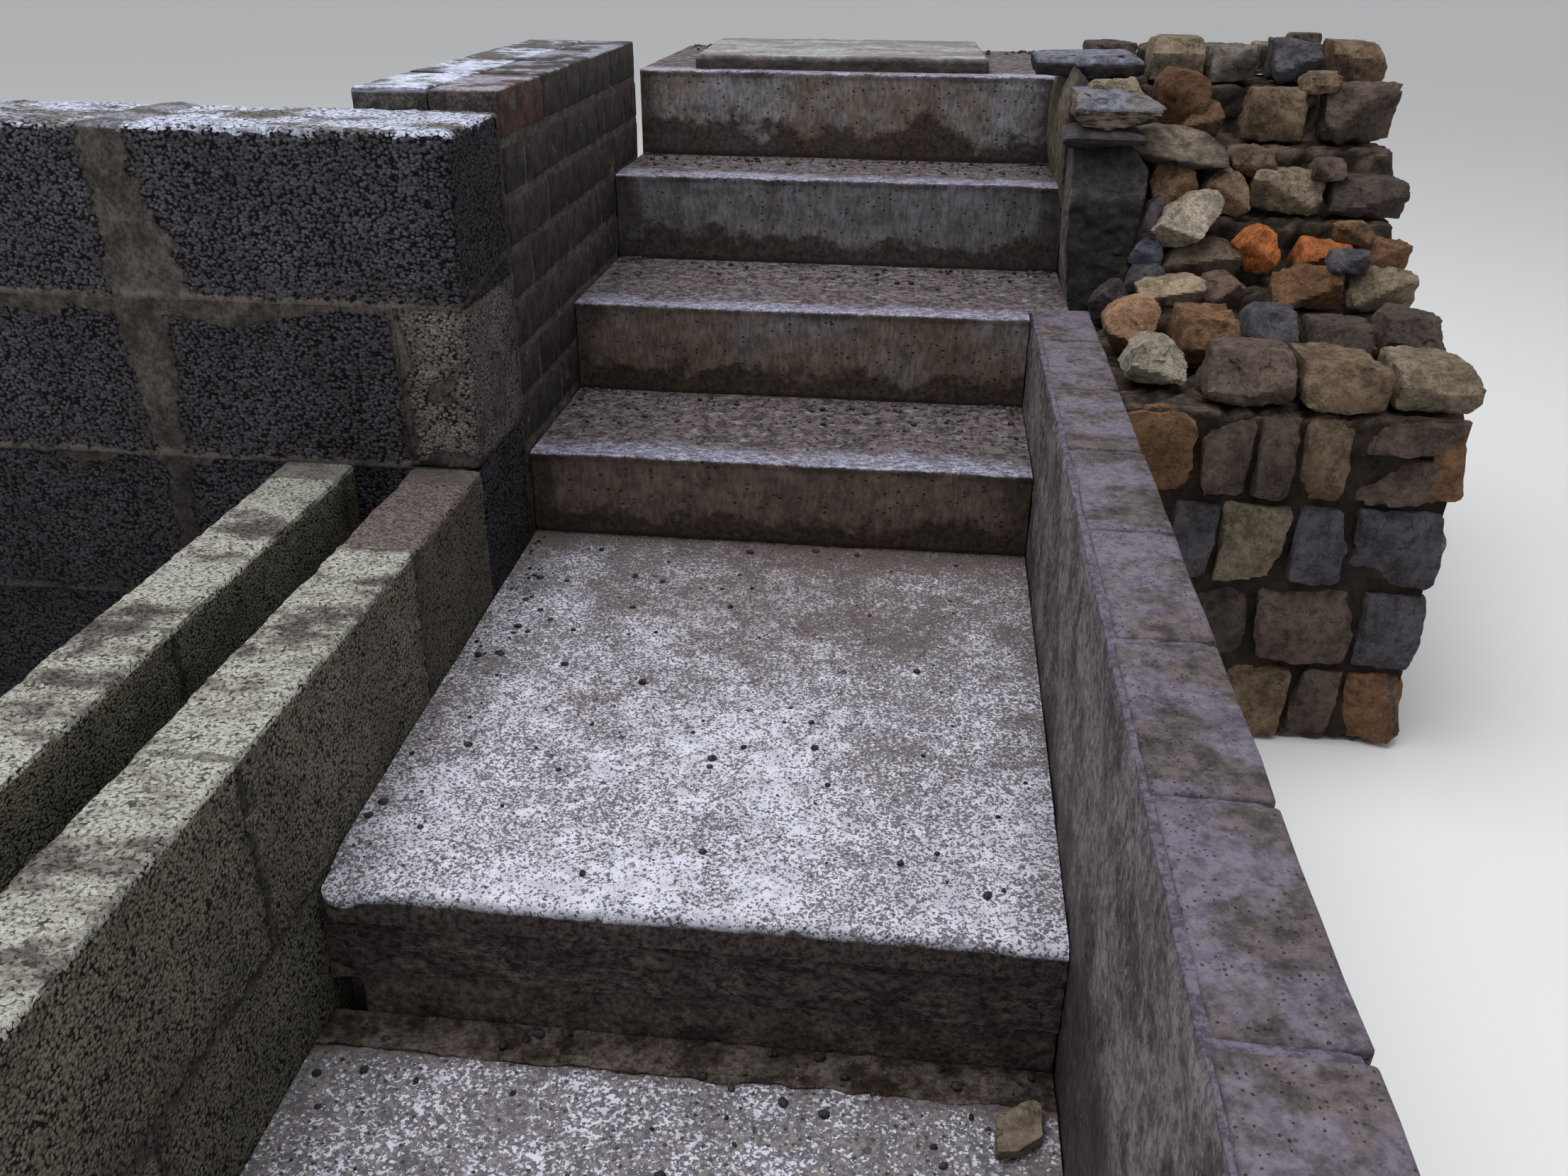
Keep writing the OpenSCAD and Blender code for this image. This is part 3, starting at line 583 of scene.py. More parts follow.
def split_slate(name, pale, dark, across, faded=None):
    """Slate or schist: riven faces, with layers that show along the edges and lie across that axis."""
    f = Finish(name)
    stretch = [0.30, 0.30, 0.30]
    stretch[across] = 2.2
    layer = f.noise(80.0, 5, 0.74, stretch, 1, 0.6)
    cloudy = f.noise(18.0, 6, 0.76, seed=3)
    # dark is the slates' shaded colour: the darker patches and the dark layer lines are painted shade
    body = f.mix(f.step(f.sum(f.times(layer, 0.5), f.times(cloudy, 0.5)), 0.42, 0.58), dark, pale)
    body = f.mix(f.times(f.step(layer, 0.36, 0.46, 1.0, 0.0), 0.8), body, f.shade(dark, 0.30))
    body = f.mix(f.times(f.step(f.noise(75.0, 5, 0.78, seed=5), 0.54, 0.68), 0.45), body, f.shade(pale, 1.45))
    # faces picked by the way they look take the face colour: a real tint on side faces, painted light and painted sky
    # sheen on upward faces
    if faded is not None:
        face = f.mottled(faded, 1.15, 0.42, f.noise(50.0, 6, 0.80, seed=9), 0.40, 0.60)
        body = f.mix(f.times(f.read("faded"), f.step(cloudy, 0.40, 0.62, 1.0, 0.5)), body, face)
    height = f.sum(f.times(layer, 1.3), f.times(f.noise(130.0, 5, 0.76, seed=6), 0.8), f.times(cloudy, 0.8))
    return f.done(body, f.step(layer, 0.3, 0.7, 0.60, 0.75), f.relief(height, 3.4), 0.10)


def field_stone(name):
    """Rough stones of the bank, each in its own colour, with painted shade where the mesh marks them deep, so that
    their tops stay paler.
    """
    f = Finish(name)
    tint = f.read_tint("tint")
    blotch = f.noise(24.0, 6, 0.78)
    body = f.mottled(tint, 0.55, 1.30, blotch, 0.38, 0.62)
    body = f.mix(f.times(f.step(f.noise(120.0, 5, 0.78, seed=3), 0.50, 0.66), 0.45), body, f.shade(tint, 1.75))
    dark = f.step(f.noise(64.0, 5, 0.78, seed=4), 0.53, 0.66)
    body = f.mix(f.times(dark, 0.7), body, f.shade(tint, 0.26))
    crack = f.step(f.math("ABSOLUTE", f.less(f.noise(15.0, 5, 0.72, seed=8, warp=0.8), 0.5)), 0.0, 0.008, 1.0, 0.0)
    body = f.mix(f.times(crack, 0.5), body, f.shade(tint, 0.2))
    # painted shade: darker where the mesh marks deep
    body = f.mix(f.read("deep"), body, f.shade(body, 0.16))
    height = f.sum(f.times(f.noise(70.0, 6, 0.78, seed=5), 1.6), f.times(f.noise(300.0, 3, 0.6, seed=6), 0.35),
                   f.times(crack, -0.4))
    return f.done(body, 0.85, f.relief(height, 4.4), 0.16)


def flag_stone(name, tones):
    """Sawn or cast flag, pale and damp, with a brown film and a dark, rough edge, dark partly with damp and partly with
    painted shade.
    """
    f = Finish(name)
    body = f.mix(f.noise(9.0, 4, 0.6), tones.flag, f.shade(tones.flag, 0.55))
    body = f.mottled(body, 0.55, 1.2, f.noise(50.0, 5, 0.76, seed=2), 0.40, 0.62)
    film = f.step(f.sum(f.noise(7.0, 5, 0.72, (1, 1.6, 1), 4), f.read("dirt")), 0.62, 0.80)
    body = f.mix(f.times(film, 0.8), body, f.shade(tones.tread, 0.7))
    far, pick = f.grains(150.0, seed=5)
    pit = f.times(f.step(far, 0.15, 0.28, 1.0, 0.0), f.step(pick, 0.74, 0.78))
    body = f.mix(f.times(pit, 0.8), body, f.shade(tones.damp, 0.5))
    # the marked sides and rim: damp colour, which also paints the shade on the rounded sides
    rim = f.mottled(tones.damp, 0.4, 1.8, f.noise(60.0, 4, 0.7, (0.5, 1, 1.6), 7), 0.38, 0.62)
    body = f.mix(f.times(f.read("damp"), 0.95), body, rim)
    height = f.sum(f.noise(110.0, 4, 0.68, seed=6), f.times(pit, -0.8))
    return f.done(body, 0.6, f.relief(height, 2.2), 0.25)


# ---------------------------------------------------------------- what a user would change


def shown(red, green, blue):
    """A colour as a screen shows it, 0 to 255, turned into the linear one that materials use."""
    return tuple((c / 255 / 12.92) if c <= 10 else ((c / 255 + 0.055) / 1.055) ** 2.4 for c in (red, green, blue))


def colour_setting(name, description, default):
    return FloatVectorProperty(name=name, description=description, subtype="COLOR", size=3, min=0, max=1,
                               default=default)


class ConcreteSettings(bpy.types.PropertyGroup):
    """Colours of the cast steps, landing and slab."""

    pale: colour_setting("Pale skin", "Worn skin of the landing and the bottom slab", shown(212, 212, 226))
    aggregate: colour_setting("Aggregate", "Dark stones that show through the skin", shown(66, 61, 66))
    grit: colour_setting("Grit", "Pale stones in the concrete", shown(124, 115, 112))
    dirt: colour_setting("Dirt", "Film of dirt on the landing", shown(116, 102, 98))
    damp: colour_setting("Damp", "Dark, damp foot of the risers", shown(48, 39, 34))
    nosing: colour_setting("Nosing", "Smooth, wet front of the treads", shown(166, 164, 186))
    tread: colour_setting("Tread", "Dirty back of the treads", shown(103, 93, 95))
    riser: colour_setting("Riser", "Grey face of the risers", shown(136, 133, 138))
    riser_warm: colour_setting("Warm riser", "Brown parts of the risers", shown(114, 100, 90))
    flag: colour_setting("Flag", "Loose flag on the top landing", shown(168, 168, 168))
    nosing_wear: FloatProperty(name="Nosing wear", description="How far the front edges of the treads wander",
                               subtype="DISTANCE", unit="LENGTH", default=0.003, min=0.0, max=0.01)


class MasonrySettings(bpy.types.PropertyGroup):
    """Sizes and colours of the blocks and bricks."""

    brick_length: FloatProperty(name="Brick length", description="Length of a brick's face", subtype="DISTANCE",
                                unit="LENGTH", default=0.215, min=0.15, max=0.3)
    brick_height: FloatProperty(name="Brick height", description="Height of a brick's face", subtype="DISTANCE",
                                unit="LENGTH", default=0.065, min=0.04, max=0.09)
    joint: FloatProperty(name="Joint", description="Width of a mortar joint", subtype="DISTANCE", unit="LENGTH",
                         default=0.010, min=0.004, max=0.02)
    mortar: colour_setting("Mortar", "Mortar of the joints", shown(101, 94, 90))
    blush: colour_setting("Red mortar", "Purple brown mortar over the first block of the inner skin",
                          shown(118, 106, 104))
    # painted sky reflection: the pale blue that the wet upper faces of the blocks and bricks take from the sky
    sky_reflection_top: colour_setting("Wet top", "Damp upper faces that mirror the sky", shown(206, 212, 234))
    block_dark: colour_setting("Dark block", "Shaded grains of the wall's blocks", shown(62, 61, 65))
    block_light: colour_setting("Dark block, light grains", "Lit grains of the wall's blocks", shown(92, 91, 100))
    skin_dark: colour_setting("Pale block", "Shaded grains of the thin skins' blocks", shown(98, 92, 82))
    skin_light: colour_setting("Pale block, light grains", "Lit grains of the thin skins' blocks", shown(140, 134, 119))
    # painted sheen: the skins' upper faces made paler than their sides, for the light and sky they face
    skin_top_sheen: colour_setting("Pale block's top", "Upper face of the thin skins", shown(184, 182, 172))
    # painted shade: the bricks' colour is set darker than their own, for the shade on the wall's side face
    brick: colour_setting("Brick", "Dark bricks of the cheek wall", shown(58, 52, 51))
    brick_warm: colour_setting("Warm brick", "The few redder bricks", shown(80, 62, 56))
    kerb_brick: colour_setting("Kerb brick", "Bricks of the kerb wall", shown(88, 80, 81))
    # painted sky sheen: the bluish purple that the kerb's wet upper faces take from the sky
    kerb_top_sky_sheen: colour_setting("Kerb top", "Damp upper faces along the kerb", shown(134, 127, 147))
    kerb_pale: colour_setting("Kerb render", "Mortar drawn down the kerb's face", shown(134, 124, 128))
    kerb_dark: colour_setting("Kerb render, dark", "Damp streaks down the kerb's face", shown(78, 68, 68))


class StoneSettings(bpy.types.PropertyGroup):
    """Colours of the slates and the rubble."""

    # painted sky reflection: the blue of the slates' wet upper faces
    slate_blue_sky_sheen: colour_setting("Blue slate", "Wet upper faces of the flat slates", shown(120, 122, 136))
    slate_brown: colour_setting("Brown slate", "Weathered faces of the slates", shown(124, 112, 96))
    slate_grey: colour_setting("Grey slate", "Sawn side of the post", shown(140, 136, 132))
    slate_mauve: colour_setting("Mauve slate", "Thin slate on the post", shown(92, 86, 94))
    slate_dark: colour_setting("Dark slate", "Riven front of the post", shown(54, 50, 50))
    slate_shade: colour_setting("Dark slate, shaded", "Deep layers of the slates", shown(28, 26, 27))
    earth: colour_setting("Packed rubble", "Small stones and earth of the bank", shown(84, 72, 62))
    weathering: FloatProperty(name="Weathering", description="How rough the stones' faces are", subtype="DISTANCE",
                              unit="LENGTH", default=0.0035, min=0.0, max=0.01)


def settings(context):
    scene = context.scene
    return scene.steps_concrete, scene.steps_masonry, scene.steps_stone


def shared(maker, name, *args):
    """The finish of that name, made the first time that it is asked for."""
    return bpy.data.materials.get(name) or maker(name, *args)


# ---------------------------------------------------------------- steps and landing


def dull(tones, warm, grey):
    """A mixture of the risers' two colours, for concrete that isn't brushed."""
    return [warm * w + grey * r for w, r in zip(tones.riser_warm, tones.riser)]


def crumb(r, at, k):
    """A small, flattish stone."""
    bm = bmesh.new()
    bmesh.ops.create_icosphere(bm, subdivisions=1, radius=r)
    bmesh.ops.scale(bm, vec=(1.0, 0.6 + 0.5 * chance(k, 4), 0.6), verts=bm.verts)
    bmesh.ops.rotate(bm, matrix=Matrix.Rotation(6.3 * chance(k, 5), 3, "Z"), verts=bm.verts)
    bmesh.ops.translate(bm, vec=at, verts=bm.verts)
    return bm


class STEPS_OT_landing(bpy.types.Operator):
    """Models the bottom slab, the toe strip and the landing with its worn nosing"""

    bl_idname = "steps.landing"
    bl_label = "Landing and bottom slab"

    # depths of the topping and of the slab under it at the front edge
    TOPPING, EDGE = 38.0, 70.0
    # crumbs on the landing, and in all
    CRUMBS = (210, 330)

    def execute(self, context):
        tones = settings(context)[0]
        self.topping(tones)
        self.edge(tones)
        self.bottom(tones)
        self.crumbs(tones)
        return {"FINISHED"}

    def crumbs(self, tones):
        """Dark crumbs that lie about on the landing, the toe strip and the slab."""
        pile = Pile()
        low, high = plan_box("landing_topping")
        fall = (high[2] - low[2] - self.TOPPING) / (high[1] - low[1])
        for i in range(self.CRUMBS[0]):
            u, v, w = (chance(i, k) for k in (1, 2, 3))
            r = 1.7 + 5.4 * w ** 3
            x = 14 + u * (high[0] - 28) if i % 3 else 10 + 90 * u ** 2
            y = low[1] + 40 + (high[1] - low[1] - 50) * v ** (0.6 if i % 2 else 1.0)
            pile.add(crumb(r, (x, y, low[2] + self.TOPPING - 0.5 + fall * (y - low[1]) + 0.2 * r), i))
        low, high = plan_box("bottom_slab")
        end = plan_box("toe_strip")[1][1]
        for i in range(*self.CRUMBS):
            u, v, w = (chance(i, k) for k in (1, 2, 3))
            r = 1.7 + 6.0 * w ** 3
            y = end - 8 - (end - low[1] - 30) * v ** 1.8
            pile.add(crumb(r, (14 + u * (high[0] - 28), y, high[2] - (2.0 if y > high[1] + 8 else 0.5) + 0.2 * r), i))
        finish = gritty_mortar("Dark crumbs", tones.aggregate, [c * 0.5 for c in tones.aggregate])
        piece("landing_crumbs", pile.bm, finish, "bed_mortar")

    def topping(self, tones):
        low, high = plan_box("landing_topping")
        fall = (high[2] - low[2] - self.TOPPING) / (high[1] - low[1])
        bm = cut_box(low, (high[0], high[1], low[2] + self.TOPPING), (7.0, 7.0, 7.6))
        flat = points(bm)
        top = low[2] + self.TOPPING
        worn = 9.0 + 5.0 * cloud(flat, (60, 60, 60), 2)
        p = rounded(flat, low, (high[0], high[1], top), np.clip(worn, 4, 15), "-x+x+y-z")[0]
        front = soft(flat[:, 1], low[1] + 30, low[1])
        upper = soft(flat[:, 2], low[2], top)
        p[:, 1] += front * (3.0 + 4.0 * cloud(flat, (45, 45, 18), 4)) * soft(flat[:, 2], low[2] - 10, top - 8)
        pits = np.minimum(cloud(flat, 11, 5, 2), 0) * (1.6 + 3.4 * soft(flat[:, 1], low[1] + 45, low[1]))
        p[:, 2] += upper * (1.6 * cloud(flat, 160, 6, 2) + 0.5 * cloud(flat, 24, 3, 2) + pits)
        curl = soft(flat[:, 0], 75, 0) * soft(flat[:, 1], low[1] + 95, low[1])
        p[:, 2] -= 15.0 * curl * upper
        p[:, 0] += 20.0 * soft(flat[:, 0], 60, 0) * soft(flat[:, 1], low[1] + 22, low[1]) ** 2
        p[:, 2] += fall * (p[:, 1] - low[1])
        dirt = 0.14 + 0.5 * soft(flat[:, 1], high[1] - 120, high[1]) + 0.34 * soft(flat[:, 0], 90, 0)
        dirt += 0.30 * soft(flat[:, 0], 670, 775)
        for x, y, reach, much in ((520, 130, 260, 0.55), (230, 40, 200, 0.36), (400, -120, 190, 0.34),
                                  (190, -260, 150, 0.26), (640, -40, 170, 0.28), (560, -330, 160, 0.20)):
            dirt += much * np.exp(-(((flat[:, 0] - x) / reach) ** 2 + ((flat[:, 1] - y) / (reach * 0.62)) ** 2))
        dirt -= 0.25 * soft(flat[:, 1], low[1] + 160, low[1])
        side = soft(flat[:, 2] + 5.0 * cloud(flat, 24, 9, 3), top - 7, top - 13) * front
        place(bm, p)
        mark(bm, dirt=dirt, damp=np.maximum(soft(flat[:, 1], high[1] - 12, high[1]), side))
        plain(bm, 2, low[2])
        finish = pale_concrete("Worn landing concrete", tones, 430.0, 0.470, 170.0)
        piece("landing_surface", bm, finish, "pale_concrete", "landing_topping")

    def edge(self, tones):
        finish = rough_concrete("Landing edge concrete", tones)
        low, high = plan_box("landing_slab")
        bm = cut_box(low, high, (5.0, 900.0, 5.0))
        p = points(bm)
        front = p[:, 1] < low[1] + 1
        fall = high[2] - low[2] - self.EDGE
        share = (p[:, 2] - low[2]) / (high[2] - low[2])
        p[:, 2] = np.where(front, low[2] + share * (high[2] - low[2] - fall), p[:, 2])
        ragged = 3.0 + 2.4 * cloud(p, (60, 40, 26), 2) + 1.6 * cloud(p, (12, 12, 9), 8, 2)
        crack = soft(p[:, 2], high[2] - fall - 9, high[2] - fall - 1)
        crack = crack * (0.5 + 5.0 * np.maximum(cloud(p, (50, 50, 50), 12), 0))
        p[:, 1] += front * (ragged + crack + 10.0 * soft(p[:, 0], 40, 0))
        place(bm, p)
        plain(bm, 1, high[1])
        piece("landing_edge", bm, finish, "dark_concrete", "landing_slab")
        low, high = plan_box("landing_base")
        bm = cut_box(low, high, (5.0, 900.0, 5.0))
        p = points(bm)
        front = p[:, 1] < low[1] + 1
        pocket = soft(p[:, 0], 32, 24) * soft(p[:, 2], 137, 128)
        lumps = np.maximum(cloud(p, (26, 26, 18), 21, 2), 0) * 9.0 * soft(p[:, 0], 210, 30)
        p[:, 1] += front * (5.0 + 2.2 * cloud(p, (40, 40, 22), 5) + 38.0 * pocket - lumps * (1 - pocket))
        place(bm, p)
        plain(bm, 1, high[1])
        foot = gritty_mortar("Landing foot concrete", dull(tones, 0.62, 0.14), dull(tones, 0.27, 0.06))
        piece("landing_foot", bm, foot, "dark_concrete", "landing_base")

    def bottom(self, tones):
        low, high = plan_box("toe_strip")
        bm = cut_box((low[0], low[1] - 12.0, low[2]), high, (6.0, 5.0, 100.0))
        p = points(bm)
        up = p[:, 2] > high[2] - 1
        rise = plan_box("bottom_slab")[1][2] - high[2]
        lap = soft(p[:, 1], low[1] + 6, low[1] - 3)
        lumps = 5.0 * np.maximum(cloud(p, 14, 7, 2) - 0.25, 0) * (1 - lap)
        p[:, 2] += up * (-1.0 + (rise + 1.6) * lap + 1.6 * cloud(p, 18, 4) * (1 - 0.5 * lap) + lumps)
        p[:, 1] += lap * (5.0 + 8.0 * cloud(p, (34, 34, 34), 5, 4))
        place(bm, p)
        finish = gritty_mortar("Toe mortar", dull(tones, 0.50, 0.12), tones.damp)
        piece("toe_mortar", bm, finish, "bed_mortar", "toe_strip")
        low, high = plan_box("bottom_slab")
        bm = cut_box(low, high, (8.5, 8.5, 10.0))
        flat = points(bm)
        p = rounded(flat, low, high, np.clip(7.0 + 4.0 * cloud(flat, 50, 3), 3, 12), "-x+x-z")[0]
        upper = soft(flat[:, 2], high[2] - 40, high[2])
        back = soft(flat[:, 1], high[1] - 30, high[1])
        p[:, 1] -= back * 1.5
        hollows = 4.0 * back * np.maximum(cloud(flat, 30, 8), 0)
        p[:, 2] += upper * (1.4 * cloud(flat, 130, 6, 2) + 0.9 * cloud(flat, 13, 3, 2) - hollows)
        place(bm, p)
        dirt = 0.06 + 0.5 * back + 0.35 * soft(flat[:, 0], 90, 0) + 0.3 * soft(flat[:, 0], 680, 775)
        dirt += 0.35 * np.maximum(cloud(flat, 220, 14, 2), 0)
        mark(bm, dirt=dirt, damp=soft(flat[:, 2], high[2] - 12, high[2] - 26))
        plain(bm, 2, low[2])
        finish = pale_concrete("Coarse slab concrete", tones, 330.0, 0.530, 130.0)
        piece("bottom_slab_surface", bm, finish, "pale_concrete", "bottom_slab")


class STEPS_OT_flight(bpy.types.Operator):
    """Models the risers and treads, with crumbs of grit at the backs of the treads"""

    bl_idname = "steps.flight"
    bl_label = "Risers and treads"

    # step, its tread, how brown the riser is, how far up it is damp, how light it is
    STEPS = (
        ("step_1", "step_1_tread", 0.34, 1.1, 0.84),
        ("step_2", "step_2_tread", 0.10, 1.0, 0.88),
        ("step_3", "step_3_tread", -0.18, 1.05, 0.64),
        ("step_4", "top_landing", -0.02, 1.35, 1.02),
    )
    CRUMBS = 330

    def execute(self, context):
        tones = settings(context)[0]
        kerb_end = plan_box("kerb_wall")[1][1]
        narrow = plan_box("landing_topping")[1][0]
        floor = plan_box("landing_topping")[1][2]
        wander = tones.nosing_wear * 1000.0
        for seed, (name, tread, warm, wet, level) in enumerate(self.STEPS, 1):
            finish = step_concrete(name.replace("_", " ").capitalize() + " concrete", tones, seed * 3.0, level)
            low, high = plan_box(tread)
            body_low, body_high = plan_box(name + "_body")
            parts = [(low, high)]
            if low[1] < kerb_end < high[1]:
                parts = [(low, (narrow, kerb_end, high[2])), ((low[0], kerb_end, low[2]), high)]
            pile = Pile()
            for part, (a, b) in enumerate(parts):
                pile.add(self.tread(a, b, low, high, floor, body_low[1], wander, warm, wet, seed, part > 0))
            piece(name + "_tread_surface", pile.bm, finish, "tread_topping", tread)
            pile = Pile()
            bodies = [(body_low, body_high)]
            if body_low[1] < kerb_end < body_high[1]:
                bodies = [(body_low, (narrow, kerb_end, body_high[2])),
                          ((body_low[0], kerb_end, body_low[2]), body_high)]
            for part, (a, b) in enumerate(bodies):
                pile.add(self.riser(a, b, body_low, high, floor, warm, wet, seed, part > 0))
            piece(name + "_riser_face", pile.bm, finish, "dark_concrete", name + "_body")
            self.crumbs(name, low, high, narrow if high[1] < kerb_end else low[0] + high[0], seed, tones)
            floor = high[2]
        return {"FINISHED"}

    def grain(self, p, seed):
        """How far the riser's face stands back at each point."""
        return 1.2 + 1.3 * cloud(p, (150, 150, 40), seed) + 0.8 * cloud(p, (26, 26, 7), seed + 5, 2)

    def shares(self, bm, flat, low, high, floor, warm, wet, hidden):
        rise = high[2] - floor
        mark(bm, ahead=flat[:, 1] - low[1], below=high[2] - flat[:, 2],
             above=np.where(hidden, flat[:, 2] / 620, (flat[:, 2] - floor) / rise / wet),
             side=np.where(hidden, 400.0, np.minimum(flat[:, 0] - low[0], high[0] - flat[:, 0])),
             warm=np.where(hidden, 0.22, warm))

    def tread(self, a, b, low, high, floor, face, wander, warm, wet, seed, behind):
        bm = cut_box(a, b, (7.5, 7.5, 5.0))
        flat = points(bm)
        if behind:
            p = flat.copy()
            front = np.zeros(len(p))
        else:
            p = rounded(flat, a, b, np.clip(4.5 + 2.5 * cloud(flat, 40, seed), 2, 8), "-x+x+y-z")[0]
            front = soft(flat[:, 1], a[1] + 8, a[1])
            ragged = wander * (0.5 + cloud(flat, (34, 34, 34), seed + 2)) + 0.5 * cloud(flat, (9, 9, 9), seed + 4, 2)
            under = soft(high[2] - flat[:, 2], 3.5, 9.0)
            back = front * ((face - low[1]) + self.grain(flat, seed)) * under
            p[:, 1] += front * ragged * (1 - under) + back
        upper = soft(flat[:, 2], a[2], b[2])
        p[:, 2] += upper * (1.0 * cloud(flat, (170, 120, 100), seed + 1, 2) - 0.6 + 0.35 * cloud(flat, 16, seed + 6, 2))
        place(bm, p)
        self.shares(bm, flat, low, high, floor, warm, wet, flat[:, 1] > low[1] + 1)
        plain(bm, 2, a[2])
        return bm

    def riser(self, a, b, low, high, floor, warm, wet, seed, behind):
        bm = cut_box(a, b, (8.0, 800.0, 900.0) if behind else (8.0, 800.0, 7.5))
        bmesh.ops.bisect_plane(bm, geom=bm.verts[:] + bm.edges[:] + bm.faces[:], plane_co=(0, a[1] + 12.0, 0),
                               plane_no=(0, 1, 0))
        p = points(bm)
        flat = p.copy()
        if not behind:
            front = p[:, 1] < a[1] + 1
            p[:, 1] += front * self.grain(p, seed)
        place(bm, p)
        hidden = flat[:, 1] > low[1] + 1
        flat[:, 1] = low[1]
        self.shares(bm, flat, (0.0, low[1], 0.0), high, floor, warm, wet, hidden)
        plain(bm, 1, b[1])
        return bm

    def crumbs(self, name, low, high, width, seed, tones):
        """Small stones washed to the back of the tread."""
        pile = Pile()
        width = min(width, high[0])
        for i in range(self.CRUMBS):
            u, v, w = (chance(i + 400 * seed, k) for k in (1, 2, 3))
            r = 1.4 + 5.4 * w ** 4
            x = 12 + u * (width - 24)
            if v < 0.3:
                x = 10 + 45 * u if i % 2 else width - 10 - 45 * u
            y = high[1] - 6 - (v ** 2.0) * min(170.0, 0.6 * (high[1] - low[1]))
            pile.add(crumb(r, (x, y, high[2] + 0.25 * r), i))
        finish = shared(gritty_mortar, "Crumbs of grit", tones.tread, tones.damp)
        piece(name + "_crumbs", pile.bm, finish, "tread_topping")


class STEPS_OT_flag(bpy.types.Operator):
    """Models the loose flag that lies on the top landing"""

    bl_idname = "steps.flag"
    bl_label = "Paving flag"

    LENGTH, WIDTH, TURN = 598.0, 470.0, 2.0

    def execute(self, context):
        tones = settings(context)[0]
        low, high = plan_box("paving_flag")
        half = (self.LENGTH / 2, self.WIDTH / 2)
        bm = cut_box((-half[0], -half[1], low[2]), (half[0], half[1], high[2]), (8.5, 8.5, 6.0))
        flat = points(bm)
        a, b = (-half[0], -half[1], low[2]), (half[0], half[1], high[2])
        p, way = rounded(flat, a, b, np.clip(9 + 4 * cloud(flat, 45, 3), 4, 14), "-z")
        upper = soft(flat[:, 2], low[2], high[2])
        p[:, 2] += upper * (1.5 * cloud(flat, 120, 4, 3) + 0.8 * cloud(flat, 20, 6, 2) - 1.2)
        p[:, :2] += way[:, :2] * (2.2 * cloud(flat, 30, 7, 3) - 1.5)[:, None]
        place(bm, p)
        rim = np.minimum(half[0] - np.abs(flat[:, 0]), half[1] - np.abs(flat[:, 1]))
        rim += 9.0 * cloud(flat, (26, 26, 26), 9, 3)
        # damp marks the sides below the top and a ragged rim: damp and painted shade
        mark(bm, dirt=0.2, damp=np.maximum(soft(flat[:, 2], high[2] - 3, high[2] - 9), 0.8 * soft(rim, 9, 1)))
        turn = Matrix.Rotation(math.radians(self.TURN), 3, "Z")
        bmesh.ops.rotate(bm, matrix=turn, verts=bm.verts)
        middle = (low + high) / 2
        bmesh.ops.translate(bm, vec=(middle[0], middle[1], 0), verts=bm.verts)
        piece("paving_flag_surface", bm, flag_stone("Loose flag", tones), "flag_stone", "paving_flag")
        return {"FINISHED"}


# ---------------------------------------------------------------- block and brick walls


def wandering(t, seed, reach, size=60.0):
    """A smooth wander of about that reach along t, in millimetres."""
    return reach * np.array([noise.fractal((x / size + seed * 3.7, seed * 1.9, 0.5), 1.0, 2.0, 3) for x in t.tolist()])


